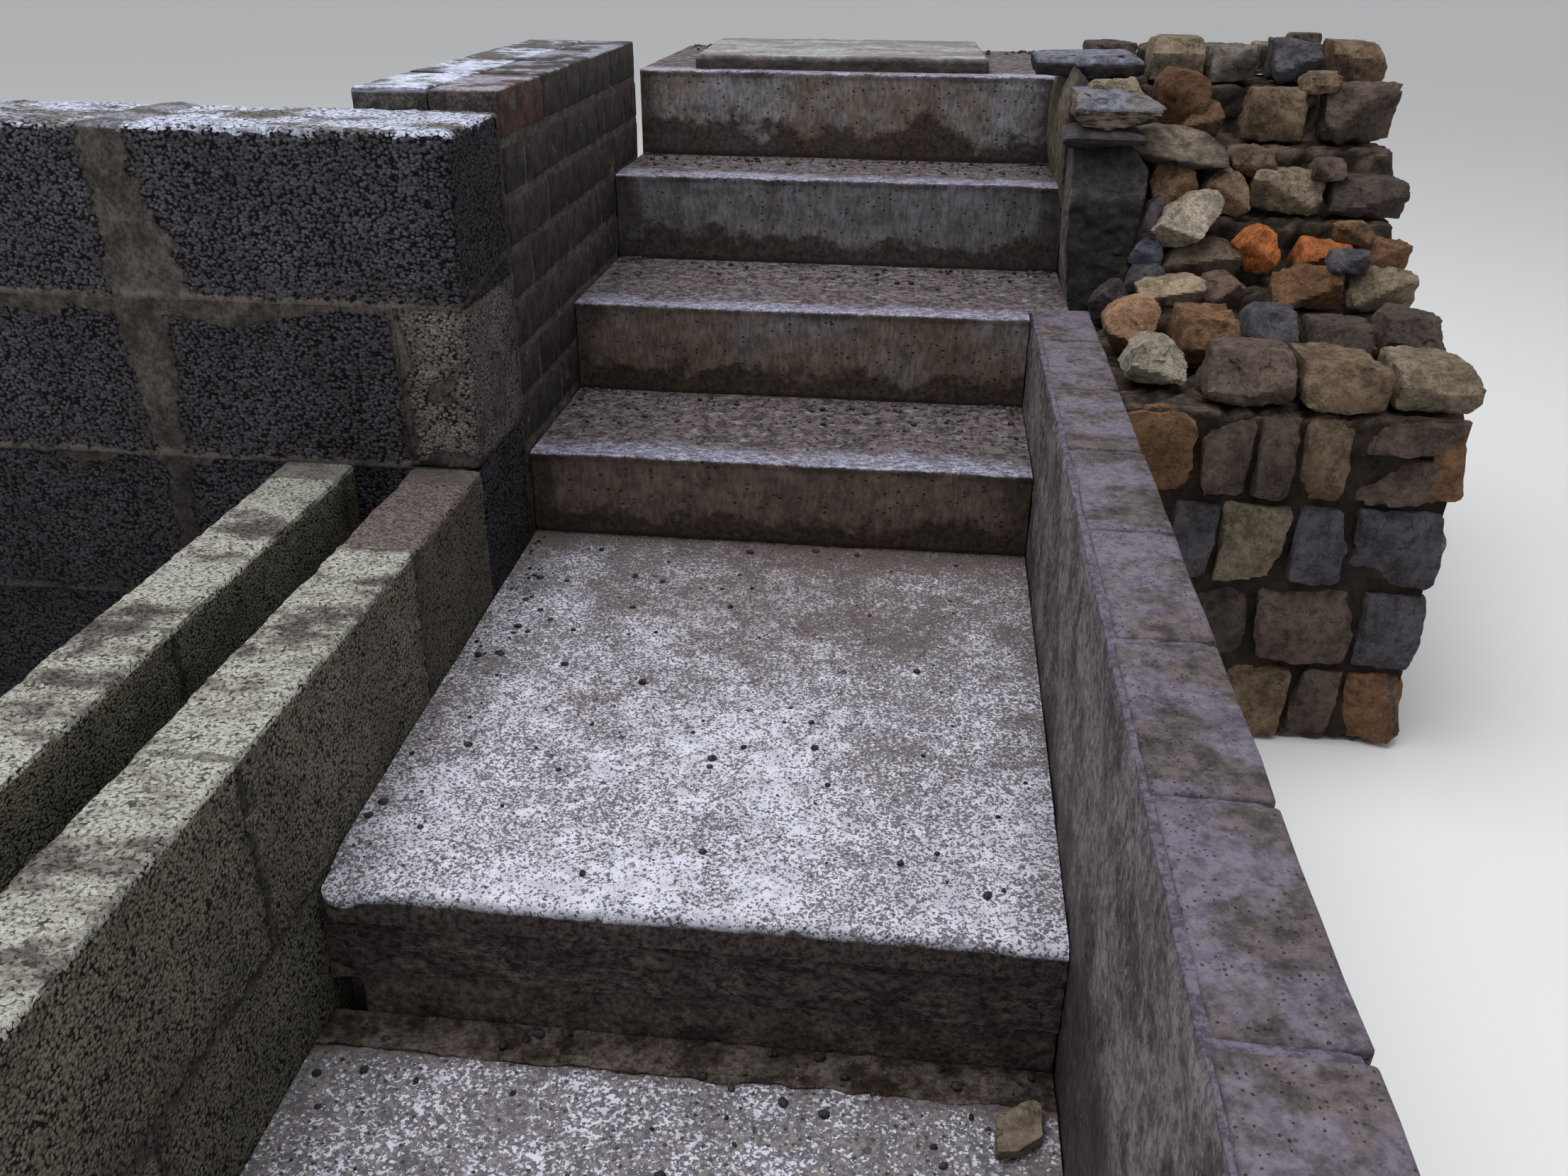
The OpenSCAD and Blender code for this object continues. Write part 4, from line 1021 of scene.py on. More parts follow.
class STEPS_OT_block_wall(bpy.types.Operator):
    """Models the courses of dark blocks with their smeared joints, and the pale closer at the wall's end"""

    bl_idname = "steps.block_wall"
    bl_label = "Block wall"

    PERPS = (-456.0, -906.0)
    # how far the mortar of an upright joint is smeared in each course: to the left at its foot and head, to the right
    SMEARS = ((13, 14, 13, 14), (14, 20, 15, 22), (20, 48, 26, 34), (36, 30, 86, 34))

    def execute(self, context):
        tones = settings(context)[1]
        finish = open_block("Dark open block", tones, tones.block_dark, tones.block_light, 205.0, tones.sky_reflection_top,
                            0.5, 0.62)
        names = ["block_wall_course_%d" % n for n in (1, 2, 3, 4)]
        for n, name in enumerate(names):
            low, high = plan_box(name)
            cell = 8.5 if n > 1 else 12.0
            bm = cut_box(low, high, (cell, 10.0, cell))
            self.dress(bm, low, high, n, n == 3)
            for axis, at in ((2, low[2]), (2, high[2])):
                if not (n == 3 and at == high[2]):
                    plain(bm, axis, at)
            piece(name + "_face", bm, finish, "dark_block", name)
        low, high = plan_box("closer_block")
        bm = cut_box(low, high, (7.0, 8.0, 7.0))
        flat = points(bm)
        p, way = rounded(flat, low, high, np.clip(7 + 4 * cloud(flat, 40, 3), 3, 12), "-x+y+z")
        p += way * (1.8 * cloud(flat, (30, 30, 18), 5, 3) - 1.4)[:, None]
        place(bm, p)
        joint = np.minimum(flat[:, 0] - low[0] - 9 - wandering(flat[:, 2], 3, 6), flat[:, 2] - low[2] - 9)
        joint = np.minimum(joint, high[1] - 14 - flat[:, 1])
        joint = np.minimum(joint, 22 - 70 * cloud(flat, (60, 60, 50), 8, 2))
        mark(bm, mortar=joint, top=0.0, tone=0.35)
        finish = open_block("Pale closer block", tones, [c * 0.9 for c in tones.mortar],
                            [c * 1.9 for c in tones.mortar], 240.0, tones.sky_reflection_top, 0.30)
        piece("closer_block_face", bm, finish, "light_block", "closer_block")
        return {"FINISHED"}

    def dress(self, bm, low, high, n, top):
        flat = points(bm)
        x, y, z = flat.T
        r = np.clip(11 + 5 * cloud(flat, 45, n), 4, 17)
        keep = "-x-z" + ("" if top else "+z") + ("+x" if n == 2 else "")
        p, way = rounded(flat, low, high, np.where(z > (low[2] + high[2]) / 2, r, 5.0), keep)
        # joints: a bed under each course, an upright joint every 450, and what was smeared past them
        share = (z - low[2]) / (high[2] - low[2])
        left_foot, left_head, right_foot, right_head = self.SMEARS[n]
        upright = np.full(len(flat), 1e3)
        ridge = np.zeros(len(flat))
        for k, at in enumerate(self.PERPS):
            ragged = 12.0 * cloud(flat, (38, 38, 24), n + 3 + k, 4)
            off = x - at - wandering(z, n + 5, 9.0, 90.0) - (-6.0 if n == 3 else 3.0) * share
            left = left_foot + (left_head - left_foot) * share + ragged
            right = right_foot + (right_head - right_foot) * soft(share, 0.0, 0.8) + ragged
            upright = np.minimum(upright, np.where(off < 0, -off - left, off - right))
            ridge = np.maximum(ridge, np.exp(-(off / 15.0) ** 2))
        bed = z - low[2] - 10.0 - wandering(x, n + 1, 3.5, 60.0)
        sag = 26.0 * np.exp(-((x + 330) / 95.0) ** 2) * (n == 2)
        droop = 8.0 + 26.0 * np.maximum(wandering(x, n + 9, 1.0, 110.0), 0) + sag
        hang = high[2] - z - 3.0
        under = (0.0 if top else 1.0) * np.where(hang < droop, hang - droop, 40.0) + (40.0 if top else 0.0)
        mortar = np.minimum(np.minimum(upright, bed), under)
        if n == 2:
            mortar = np.minimum(mortar, high[0] - x - 6 + wandering(z, 4, 5.0))
        else:
            end = soft(x, -4, -1)
            line = np.abs(z - low[2] - 10 - 0.12 * y) - 9
            rear = 190 - y + wandering(z, n, 8.0)
            mortar = np.where(end > 0.5, np.minimum(line, rear), mortar)
        proud = soft(mortar, 3, -5)
        rough = 1.9 * cloud(flat, (15, 15, 9), n + 2, 2) + 1.4 * cloud(flat, 55, n + 8, 2)
        smooth = 0.2 + 1.3 * cloud(flat, (26, 26, 16), 6, 3) + 1.6 * ridge * (1 + cloud(flat, 30, 9, 2))
        push = np.where(proud > 0.5, smooth, rough - 1.8)
        p += way * push[:, None]
        place(bm, p)
        tone = 0.22 + 0.30 * cloud(flat, (300, 300, 160), n + 4, 2)
        # crown: the top of the top course, which takes the painted sky sheen
        crown = soft(z + 7.0 * cloud(flat, (20, 20, 20), 31, 3), high[2] - 12, high[2] - 4)
        # painted highlight along the upper edge of the bed joint, read by the block's finish as its ridge
        painted_ridge_highlight = 0.8 * np.exp(-((z - low[2] - 8.0) / 6.0) ** 2) * soft(x, 2, -6)
        # painted shade is marked on the wall's end face and, more strongly the lower they lie, on the lower courses
        mark(bm, mortar=mortar, top=crown if top else 0.0, tone=np.minimum(tone, 0.55), ridge=painted_ridge_highlight,
             dim=np.maximum(soft(x, -6, -1), (0.8, 0.7, 0.35, 0.0)[n]))


class STEPS_OT_skins(bpy.types.Operator):
    """Models the two thin block skins with the open cavity between them"""

    bl_idname = "steps.skins"
    bl_label = "Block skins"

    def execute(self, context):
        tones = settings(context)[1]
        finish = open_block("Grey green skin block", tones, tones.skin_dark, tones.skin_light, 290.0,
                            tones.skin_top_sheen, 0.33, 0.72)
        for n, name in enumerate(("inner_skin_lower", "inner_skin_upper", "outer_skin_lower", "outer_skin_upper")):
            low, high = plan_box(name)
            upper = "upper" in name
            cell = 9.0 if upper else 14.0
            bm = cut_box(low, high, (8.0, cell, cell))
            flat = points(bm)
            y, z = flat.T[1:]
            r = np.clip((7 if upper else 4) + 4 * cloud(flat, 45, n), 3, 12)
            p, way = rounded(flat, low, high, r, "-z+y-y" + ("" if upper else "+z"))
            first = -261.0 if n == 1 else -36.0 if n == 3 else -486.0
            upright = np.full(len(flat), 1e3)
            for k in range(4):
                lean = first - 450.0 * k + wandering(z, n + k, 4.0)
                upright = np.minimum(upright, np.abs(y - lean) - 5.5 - 3 * cloud(flat, 30, n))
            bed = z - low[2] - 8.0 - wandering(y, n, 3.0)
            mortar = np.minimum(upright, bed)
            # head: the top face, which takes the painted sheen and the mortar patches
            head = soft(z, high[2] - 12, high[2] - 5) if upper else np.zeros(len(flat))
            if upper:
                # the mortar that fills the end against the wall
                mortar = np.where((head > 0.5) & (y > -60 + 9 * cloud(flat, 30, n)), -9.0, mortar)
            rough = 1.6 * cloud(flat, 14, n + 2, 2) + 1.1 * cloud(flat, 60, n + 8, 2)
            p += way * np.where(mortar < 0, 0.9 * cloud(flat, 20, 6, 2) - 0.4, rough - 1.7)[:, None]
            place(bm, p)
            tone = 0.22 + 0.3 * cloud(flat, 240, n)
            if n == 1:
                tone = np.where(y > first + 10 * cloud(flat, 40, 4), 0.86, np.minimum(tone, 0.55))
            mark(bm, mortar=mortar, top=head, tone=tone if n == 1 else np.minimum(tone, 0.55))
            if not upper:
                plain(bm, 2, high[2])
            plain(bm, 2, low[2])
            piece(name + "_face", bm, finish, "light_block", name)
        return {"FINISHED"}


def brick(low, high, bevel, jitter, seed):
    """One bevelled brick, a little out of true."""
    bm = bmesh.new()
    bmesh.ops.create_cube(bm, size=1.0)
    bmesh.ops.scale(bm, vec=[high[i] - low[i] for i in range(3)], verts=bm.verts)
    bmesh.ops.subdivide_edges(bm, edges=[e for e in bm.edges if e.calc_length() > 150], cuts=3)
    bmesh.ops.bevel(bm, geom=[e for e in bm.edges if e.calc_face_angle(0) > 1], offset=bevel, segments=2,
                    affect="EDGES", profile=0.5, material=-1)
    bmesh.ops.translate(bm, vec=[(low[i] + high[i]) / 2 for i in range(3)], verts=bm.verts)
    p = points(bm)
    p += jitter * np.stack([cloud(p, (34, 34, 22), seed + k * 3, 2) for k in range(3)], axis=1)
    place(bm, p)
    return bm


class STEPS_OT_brick_wall(bpy.types.Operator):
    """Models the two leaves of dark brick beside the upper steps"""

    bl_idname = "steps.brick_wall"
    bl_label = "Brick wall"

    def execute(self, context):
        tones = settings(context)[1]
        bricks = shared(wall_brick, "Dark wall brick", tones, tones.brick, tones.brick_warm, tones.sky_reflection_top)
        mortar = shared(joint_mortar, "Ragged joint mortar", tones, tones.sky_reflection_top)
        length, height, joint = (v * 1000.0 for v in (tones.brick_length, tones.brick_height, tones.joint))
        for n, name in enumerate(("cheek_wall_front_leaf", "cheek_wall_back_leaf")):
            low, high = plan_box(name)
            # painted sky reflection on the tops: weaker on the leaf beside the steps, full on the one behind it
            sheen = 0.42 if n == 0 else 1.0
            pile = Pile()
            bed = high[2] - height - 2.0
            course = 0
            while bed > low[2] - 1:
                start = low[1] + 3.0 - (0.5 * (length + joint) if course % 2 else 0.0)
                k = 0
                while start + k * (length + joint) < high[1] - 12:
                    a = max(start + k * (length + joint), low[1] + 3.0)
                    b = min(start + k * (length + joint) + length, high[1] - 1.5)
                    k += 1
                    if b - a < 40:
                        continue
                    seed = n * 500 + course * 17 + k
                    wander = 1.8 * noise.noise((seed * 0.37, 2.5, n))
                    inner, outer = low[0] + 2, high[0] - 1.6 - abs(wander)
                    if n == 1:
                        inner, outer = low[0] + 1.6 + abs(wander), high[0] - 2
                    bm = brick((inner, a, bed + wander), (outer, b, bed + height + wander * 0.5), 3.6, 1.6, seed)
                    warmth = 1.0 if (n == 0 and course == 0 and k == 1) else 0.72 * chance(seed, 3)
                    z = points(bm)[:, 2]
                    mark(bm, tone=warmth, top=sheen * soft(z, high[2] - 5.2, high[2] - 3.4))
                    pile.add(bm)
                bed -= height + joint
                course += 1
            piece(name + "_bricks", pile.bm, bricks, "grey_brick", name)
            a = (low[0] + (0.5 if n == 0 else 3.2), low[1] + 0.5, low[2])
            b = (high[0] - (3.2 if n == 0 else 0.5), high[1] - 3.0, high[2] - 4.0)
            bm = cut_box(a, b, (14.0, 10.0, 9.0))
            flat = points(bm)
            p, way = rounded(flat, a, b, 2.0, "-z")
            p += way * (2.0 * cloud(flat, 16, n, 3) + 2.8 * np.maximum(cloud(flat, 60, n + 4, 2), 0) - 0.8)[:, None]
            place(bm, p)
            mark(bm, top=soft(flat[:, 2], b[2] - 6, b[2]) * sheen)
            plain(bm, 2, a[2])
            piece(name + "_mortar", bm, mortar, "grey_brick")
        return {"FINISHED"}


class STEPS_OT_kerb_wall(bpy.types.Operator):
    """Models the low wall on the right, with bricks along its top and render drawn down its inner face"""

    bl_idname = "steps.kerb_wall"
    bl_label = "Kerb wall"

    SPACING = 243.0

    def execute(self, context):
        tones = settings(context)[1]
        low, high = plan_box("kerb_wall")
        height, joint = tones.brick_height * 1000.0, tones.joint * 1000.0
        pile = Pile()
        bed = high[2] - height - 1.0
        course = 0
        while bed > low[2]:
            first = high[1] - 188.0 if course % 2 == 0 else high[1] - 188.0 - self.SPACING / 2
            cuts = [high[1] - 1.0]
            at = first
            while at > low[1] + 20:
                cuts.append(at)
                at -= self.SPACING
            cuts.append(low[1] + 1.0)
            for k in range(len(cuts) - 1):
                b = cuts[k] - (joint / 3 if k else 0)
                a = cuts[k + 1] + (joint / 3 if k < len(cuts) - 2 else 0)
                if b - a < 30:
                    continue
                seed = course * 19 + k
                wander = 1.5 * noise.noise((seed * 0.53, 1.5, 4.0))
                inner = low[0] + (9.0 + 5.0 * wander if course == 0 else 20.0)
                bm = brick((inner, a, bed + wander),
                           (high[0] - 1.5 - abs(wander), b, bed + height - 1.0 + wander * 0.6), 4.0, 2.0, seed)
                z = points(bm)[:, 2]
                # top: where the painted sky sheen goes, at half strength
                mark(bm, tone=0.15 + 0.45 * chance(seed, 5), top=0.5 * soft(z, high[2] - 5.2, high[2] - 3.0))
                pile.add(bm)
            bed -= height + joint
            course += 1
        bricks = wall_brick("Kerb brick", tones, tones.kerb_brick, tones.kerb_dark, tones.kerb_top_sky_sheen)
        piece("kerb_bricks", pile.bm, bricks, "kerb_brick", "kerb_wall")
        a, b = low, (high[0] - 5.0, high[1], high[2] - 3.0)
        bm = cut_box(a, b, (14.0, 11.0, 10.0))
        flat = points(bm)
        p, way = rounded(flat, a, b, np.clip(6 + 5 * cloud(flat, 30, 2), 2, 12), "-z-y")
        inner = soft(flat[:, 0], low[0] + 6, low[0])
        relief = 1.8 * cloud(flat, (60, 60, 60), 3, 3) + 1.4 * cloud(flat, 14, 5, 2)
        p += way * (relief - 1.8)[:, None]
        p[:, 0] += inner * 3.0 * np.maximum(cloud(flat, (90, 120, 60), 9), 0)
        place(bm, p)
        mark(bm, above=(flat[:, 2] - 270.0) / 320.0, top=soft(flat[:, 2], b[2] - 6, b[2]))
        plain(bm, 2, a[2])
        render = smeared_render("Kerb render", tones, tones.kerb_pale, tones.kerb_dark)
        piece("kerb_render", bm, render, "kerb_brick")
        return {"FINISHED"}


# ---------------------------------------------------------------- slates and rubble


def stone(low, high, sides, step, edge=24.0, rough=3.0, seed=0, cuts=7, share=0.72):
    """A rough stone: a cut box drawn in to planes. Sides are (outward direction, distance from the middle)."""
    middle = (np.array(low) + np.array(high)) / 2
    half = (np.array(high) - np.array(low)) / 2
    bm = cut_box(-half, half, (step, step, step))
    p = points(bm)
    way = p / np.linalg.norm(p, axis=1)[:, None]
    planes = list(sides)
    for k in range(cuts):
        n = np.array([chance(seed * 7 + k, 1 + j) - 0.5 for j in range(3)])
        n = n / max(np.linalg.norm(n), 1e-6)
        planes.append((n, np.abs(n) @ half * (share + 0.16 * (chance(seed * 5 + k, 9) - 0.5))))
    planes += [(sign * np.eye(3)[axis], half[axis]) for axis in range(3) for sign in (-1, 1)]
    pull = np.zeros(len(p))
    for n, d in planes:
        pull += (np.maximum(way @ n, 0) / d) ** edge
    p = way * (pull ** (-1.0 / edge))[:, None]
    world = p + middle
    wear = 0.85 * chips(world, 30, seed) + 0.40 * chips(world, 12, seed + 3) + 0.30 * cloud(world, 9, seed + 3, 2) - 0.5
    place(bm, np.clip(p + way * (rough * wear)[:, None], -half, half) + middle)
    return bm


def slanted(seed, size):
    """Two planes that cut a stone's sides off at a slant, so that it isn't square to its neighbours."""
    planes = []
    for k in (0, 1):
        a = math.radians(28.0 * chance(seed, 11 + k) - 14.0) + (math.pi if k else 0.0)
        n = np.array([math.cos(a), 0.0, math.sin(a)])
        planes.append((n, np.abs(n) @ size / 2 - 0.5 * size[2] * abs(math.sin(a))))
    for k in (2, 3):
        a = math.radians(90.0 + 18.0 * chance(seed, 11 + k) - 9.0) + (math.pi if k == 3 else 0.0)
        n = np.array([math.cos(a), 0.0, math.sin(a)])
        planes.append((n, np.abs(n) @ size / 2 - 0.4 * size[0] * abs(math.cos(a))))
    return planes


def facing_boxes(bm):
    """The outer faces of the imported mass's stones, as (turn of the side they are on, lowest corner, highest corner)."""
    p = points(bm)
    low, high = p.min(axis=0), p.max(axis=0)
    found = []
    for axis, at, turn in ((1, low[1], 0), (0, high[0], 90), (1, high[1], 180)):
        left = {f for f in bm.faces if all(abs(v.co[axis] - at) < 0.2 for v in f.verts)}
        while left:
            group, edge = set(), [left.pop()]
            while edge:
                face = edge.pop()
                group.add(face)
                near = {g for v in face.verts for g in v.link_faces} & left
                left -= near
                edge.extend(near)
            q = np.array([v.co[:] for g in group for v in g.verts])
            found.append((turn, q.min(axis=0), q.max(axis=0)))
    return sorted(found, key=lambda box: (box[0], box[1].round().tolist()))


def facets(half_depth, ridge, upper, lower, lean=0.0):
    """Two front planes that meet at a ridge that high above the middle: one looks up by that angle, one looks down."""
    planes = []
    for angle in (upper, -lower):
        a = math.radians(angle)
        n = np.array([math.sin(math.radians(lean)) * (1 if angle > 0 else -1), -math.cos(a), math.sin(a)])
        n = n / np.linalg.norm(n)
        planes.append((n, n @ np.array([0.0, -half_depth, ridge])))
    return planes


def outline_sides(outline):
    """Planes of a stone from the outline of its front face, and the middle of the outline's box."""
    flat = [Vector(q) for q in outline]
    hull = [flat[i] for i in mathutils.geometry.convex_hull_2d(flat)]
    low = np.array([min(q.x for q in hull), min(q.y for q in hull)])
    high = np.array([max(q.x for q in hull), max(q.y for q in hull)])
    middle = (low + high) / 2
    sides = []
    for a, b in zip(hull, hull[1:] + hull[:1]):
        n = np.array([b.y - a.y, a.x - b.x])
        size = np.linalg.norm(n)
        if size < 4:
            continue
        n = n / size
        d = n @ (np.array(a) - middle)
        if d < 0:
            n, d = -n, -d
        sides.append((np.array([n[0], 0.0, n[1]]), d))
    return sides, low, high


# What the camera sees of the face stones: row, front, depth, colour, roughness, the ridge's height as a share of
# the stone's, how far its two front facets look up and down, their lean, and the front face's outline
FACE_STONES = (
    (1, 290, 104, (150, 142, 128), 3.4, -0.10, 48, 25, 10,
     ((898, 560), (913, 595), (934, 612), (961, 609), (984, 601), (1000, 581), (992, 552), (925, 547))),
    (1, 424, 104, (156, 122, 96), 2.4, -0.16, 40, 50, 16,
     ((885, 600), (893, 614), (911, 626), (940, 636), (968, 630), (979, 620), (969, 592), (948, 552), (913, 547),
      (893, 570))),
    (2, 588, 46, (82, 74, 80), 2.2, 0.10, 35, 20, 20,
     ((874, 590), (885, 612), (909, 636), (926, 638), (945, 618), (950, 599), (936, 562), (904, 556), (882, 560))),
    (2, 596, 40, (90, 88, 92), 2.4, 0.0, 30, 25, 0, ((930, 626), (943, 660), (980, 664), (999, 655), (998, 641),
                                                     (962, 608), (937, 608))),
    (2, 540, 76, (156, 140, 118), 2.4, 0.02, 58, 32, -8,
     ((943, 634), (964, 645), (993, 646), (1032, 653), (1060, 646), (1064, 622), (1010, 605), (984, 605), (950, 616))),
    (2, 541, 88, (106, 88, 78), 3.2, 0.12, 36, 22, -22,
     ((1010, 566), (1020, 590), (1052, 622), (1060, 652), (1094, 659), (1122, 640), (1124, 604), (1112, 556),
      (1030, 553))),
    (3, 622, 70, (92, 93, 108), 1.8, -0.05, 40, 15, 10,
     ((933, 661), (944, 688), (968, 708), (988, 694), (997, 675), (990, 652), (958, 648))),
    (3, 638, 58, (92, 84, 92), 2.0, 0.0, 26, 10, 24,
     ((936, 684), (946, 714), (963, 752), (985, 764), (990, 722), (976, 694))),
    (3, 620, 76, (104, 90, 77), 2.2, 0.06, 60, 28, -6,
     ((986, 650), (1010, 679), (1038, 699), (1070, 699), (1102, 694), (1126, 676), (1126, 650), (1100, 628),
      (1050, 627), (995, 630))),
    (3, 618, 80, (178, 166, 149), 2.6, -0.18, 38, 45, 14,
     ((964, 711), (993, 744), (1027, 768), (1060, 777), (1081, 773), (1092, 757), (1086, 740), (1066, 718),
      (1046, 696), (1026, 684), (991, 677), (975, 688))),
    (3, 616, 76, (184, 110, 62), 2.0, 0.05, 22, 24, 18,
     ((1111, 690), (1128, 712), (1153, 724), (1174, 716), (1184, 676), (1168, 648), (1131, 646), (1115, 671))),
    (4, 702, 92, (168, 136, 106), 2.6, 0.10, 30, 14, -26,
     ((968, 778), (979, 809), (1017, 814), (1045, 797), (1057, 770), (1052, 745), (1020, 722), (993, 712), (978, 732))),
    (4, 702, 90, (142, 118, 96), 2.8, 0.05, 34, 22, 18,
     ((1051, 757), (1066, 785), (1105, 806), (1127, 792), (1138, 766), (1142, 736), (1118, 722), (1066, 734))),
    (4, 738, 64, (104, 86, 72), 2.6, 0.0, 40, 20, 0,
     ((1100, 822), (1108, 833), (1147, 837), (1178, 828), (1186, 796), (1158, 778), (1128, 788), (1104, 804))),
    (5, 816, 100, (92, 66, 48), 2.8, 0.12, 34, 14, 12,
     ((981, 893), (982, 925), (1003, 951), (1061, 940), (1077, 922), (1064, 876), (1028, 834), (990, 838))),
    (5, 806, 92, (104, 80, 62), 2.4, 0.0, 42, 28, -8,
     ((1016, 846), (1044, 884), (1090, 899), (1100, 877), (1092, 840), (1056, 831), (1022, 832))),
)
FILLER_TINTS = ((116, 98, 80), (88, 76, 68), (106, 98, 92), (80, 70, 64), (132, 118, 100), (96, 82, 74),
                (120, 90, 66), (84, 80, 86))


def loose_parts(node):
    """The boxes, in plan millimetres, of the separate solids in a CAD node."""
    bm = bmesh.new()
    bm.from_mesh(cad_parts[node].data)
    bmesh.ops.remove_doubles(bm, verts=bm.verts, dist=1e-5)
    left = set(bm.verts)
    found = []
    while left:
        group, edge = set(), [left.pop()]
        while edge:
            v = edge.pop()
            group.add(v)
            near = {e.other_vert(v) for e in v.link_edges} & left
            left -= near
            edge.extend(near)
        p = (np.array([v.co[:] for v in group]) - np.array(CORNER)) * 1000.0
        found.append((p.min(axis=0), p.max(axis=0)))
    bm.free()
    return sorted(found, key=lambda box: tuple(box[0].round(1)))


def tinted(bm, colour, seed):
    layer = bm.verts.layers.float_color.new("tint")
    shift = 1.0 + 0.10 * noise.noise((seed * 1.3, 3.3, 0.7))
    value = tuple(min(c * shift, 1.0) for c in shown(*colour)) + (1.0,)
    for v in bm.verts:
        v[layer] = value
    return bm


class STEPS_OT_rubble(bpy.types.Operator):
    """Models the face stones, row by row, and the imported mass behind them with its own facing"""

    bl_idname = "steps.rubble"
    bl_label = "Rubble"

    def execute(self, context):
        tones = settings(context)[2]
        finish = field_stone("Rough field stone")
        rough = tones.weathering * 1000.0 / 3.5
        for row in range(1, 7):
            node = "rubble_row_%d" % row
            pile = Pile()
            boxes = []
            for k, (_, front, depth, colour, wear, ridge, upper, lower, lean,
                    outline) in enumerate(s for s in FACE_STONES if s[0] == row):
                sides, low, high = outline_sides(outline)
                a, b = (low[0], front, low[1]), (high[0], front + depth, high[1])
                boxes.append((a, b))
                tilt = facets(depth / 2, ridge * (high[1] - low[1]), upper, lower, lean)
                bm = stone(a, b, sides + tilt, 5.0, 64.0, wear * rough, row * 10 + k, 4, 0.88)
                pile.add(tinted(bm, colour, row * 10 + k))
            fillers = []
            for a, b in loose_parts(node):
                middle = (a + b) / 2
                taken = (
                    q[0][0] - 12 < middle[0] < q[1][0] + 12 and q[0][2] - 12 < middle[2] < q[1][2] + 12 for q in boxes
                )
                if not any(taken):
                    fillers.append((a + (-5, -3, 0), b + (5, 3, 4)))
            for one, two in zip(fillers, fillers[1:]):
                if abs(one[0][1] - two[0][1]) < 60 and 0 < two[0][0] - one[0][0] < 170:
                    x, y = (one[1][0] + two[0][0]) / 2, (one[0][1] + one[1][1]) / 2
                    z = min(one[1][2], two[1][2]) - 12
                    fillers.append((np.array((x - 34, y - 24, z)), np.array((x + 34, y + 32, z + 38))))
            for k, (a, b) in enumerate(fillers):
                seed = row * 40 + k
                height = b[2] - a[2]
                tilt = facets((b[1] - a[1]) / 2, height * (0.5 * chance(seed, 1) - 0.25), 26 + 26 * chance(seed, 2),
                              12 + 24 * chance(seed, 3), 50 * chance(seed, 4) - 25)
                bm = stone(a, b, tilt + slanted(seed, b - a), 7.0, 40.0, 3.4 * rough, seed, 9, 0.80)
                colour = FILLER_TINTS[int(chance(seed, 6) * len(FILLER_TINTS))]
                if row == 3 and a[0] < 1240 < b[0]:
                    colour = (166, 100, 58)
                pile.add(tinted(bm, colour, seed))
            piece("face_stones_%d" % row, pile.bm, finish, "rubble_stone", node, crease=34)
        a, b = plan_box("loose_stone")
        bm = tinted(stone(a, b, [(np.array((0.66, -0.75, 0.0)), 22.0), (np.array((-0.66, 0.75, 0.0)), 22.0)], 2.5,
                          30.0, 1.4, 77, 5), (132, 118, 104), 3)
        piece("loose_stone_surface", bm, finish, "rubble_stone", "loose_stone", crease=34)
        bank = self.mass()
        self.facing(facing_boxes(bank), rough)
        self.hearting(bank, tones)
        return {"FINISHED"}

    def mass(self):
        """The CAD solid in plan millimetres, as one closed mesh."""
        bm = bmesh.new()
        bm.from_mesh(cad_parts["rubble_hearting"].data)
        bmesh.ops.remove_doubles(bm, verts=bm.verts, dist=1e-5)
        bmesh.ops.translate(bm, vec=-CORNER, verts=bm.verts)
        bmesh.ops.scale(bm, vec=(1000.0, 1000.0, 1000.0), verts=bm.verts)
        return bm

    def facing(self, boxes, rough):
        """Rough stones over the ones that the CAD solid carries on its outer faces, some of them in two."""
        finish = shared(field_stone, "Outer facing stone")
        for side, turn in (("front", 0), ("side", 90), ("back", 180)):
            pile = Pile()
            for k, (a, b) in enumerate(box[1:] for box in boxes if box[0] == turn):
                seed = turn + k
                across = 1 if turn == 90 else 0
                wide, tall = (b[across] - a[across]) / 1.48 + 2.0, (b[2] - a[2]) / 1.48 + 2.0
                cut = 0.5 * chance(seed, 2) - 0.25
                lot = chance(seed, 1)
                shares = [(-1, 1, -1, 1)]
                if lot > 0.66:
                    shares = [(-1, 1, -1, cut), (-1, 1, cut, 1)]
                elif lot > 0.34:
                    shares = [(-1, cut, -1, 1), (cut, 1, -1, 1)]
                for part, (u0, u1, v0, v1) in enumerate(shares):
                    seed = seed + 300 * (part + 1)
                    back = 1.0 + 8.0 * chance(seed, 3)
                    low = np.array((u0 * wide + 1.0, back, v0 * tall + 1.0))
                    high = np.array((u1 * wide - 1.0, 62.0, v1 * tall - 1.0))
                    tilt = facets((62.0 - back) / 2, 0.5 * tall * (chance(seed, 4) - 0.5), 5 + 17 * chance(seed, 5),
                                  3 + 12 * chance(seed, 6), 40 * chance(seed, 7) - 20)
                    bm = stone(low, high, tilt + slanted(seed, high - low), 11.0 if turn == 0 else 12.5, 40.0,
                               2.6 * rough, seed, 8, 0.86)
                    p = points(bm)
                    p[:, 1] = np.where(p[:, 1] > high[1] - 9.0, high[1], p[:, 1])
                    place(bm, p)
                    plain(bm, 1, high[1])
                    bmesh.ops.rotate(bm, matrix=Matrix.Rotation(math.radians(turn), 3, "Z"), verts=bm.verts)
                    bmesh.ops.translate(bm, vec=(a + b) / 2, verts=bm.verts)
                    pile.add(tinted(bm, FILLER_TINTS[int(chance(seed, 8) * len(FILLER_TINTS))], seed))
            piece("bank_%s_stones" % side, pile.bm, finish, "packed_rubble", crease=34)

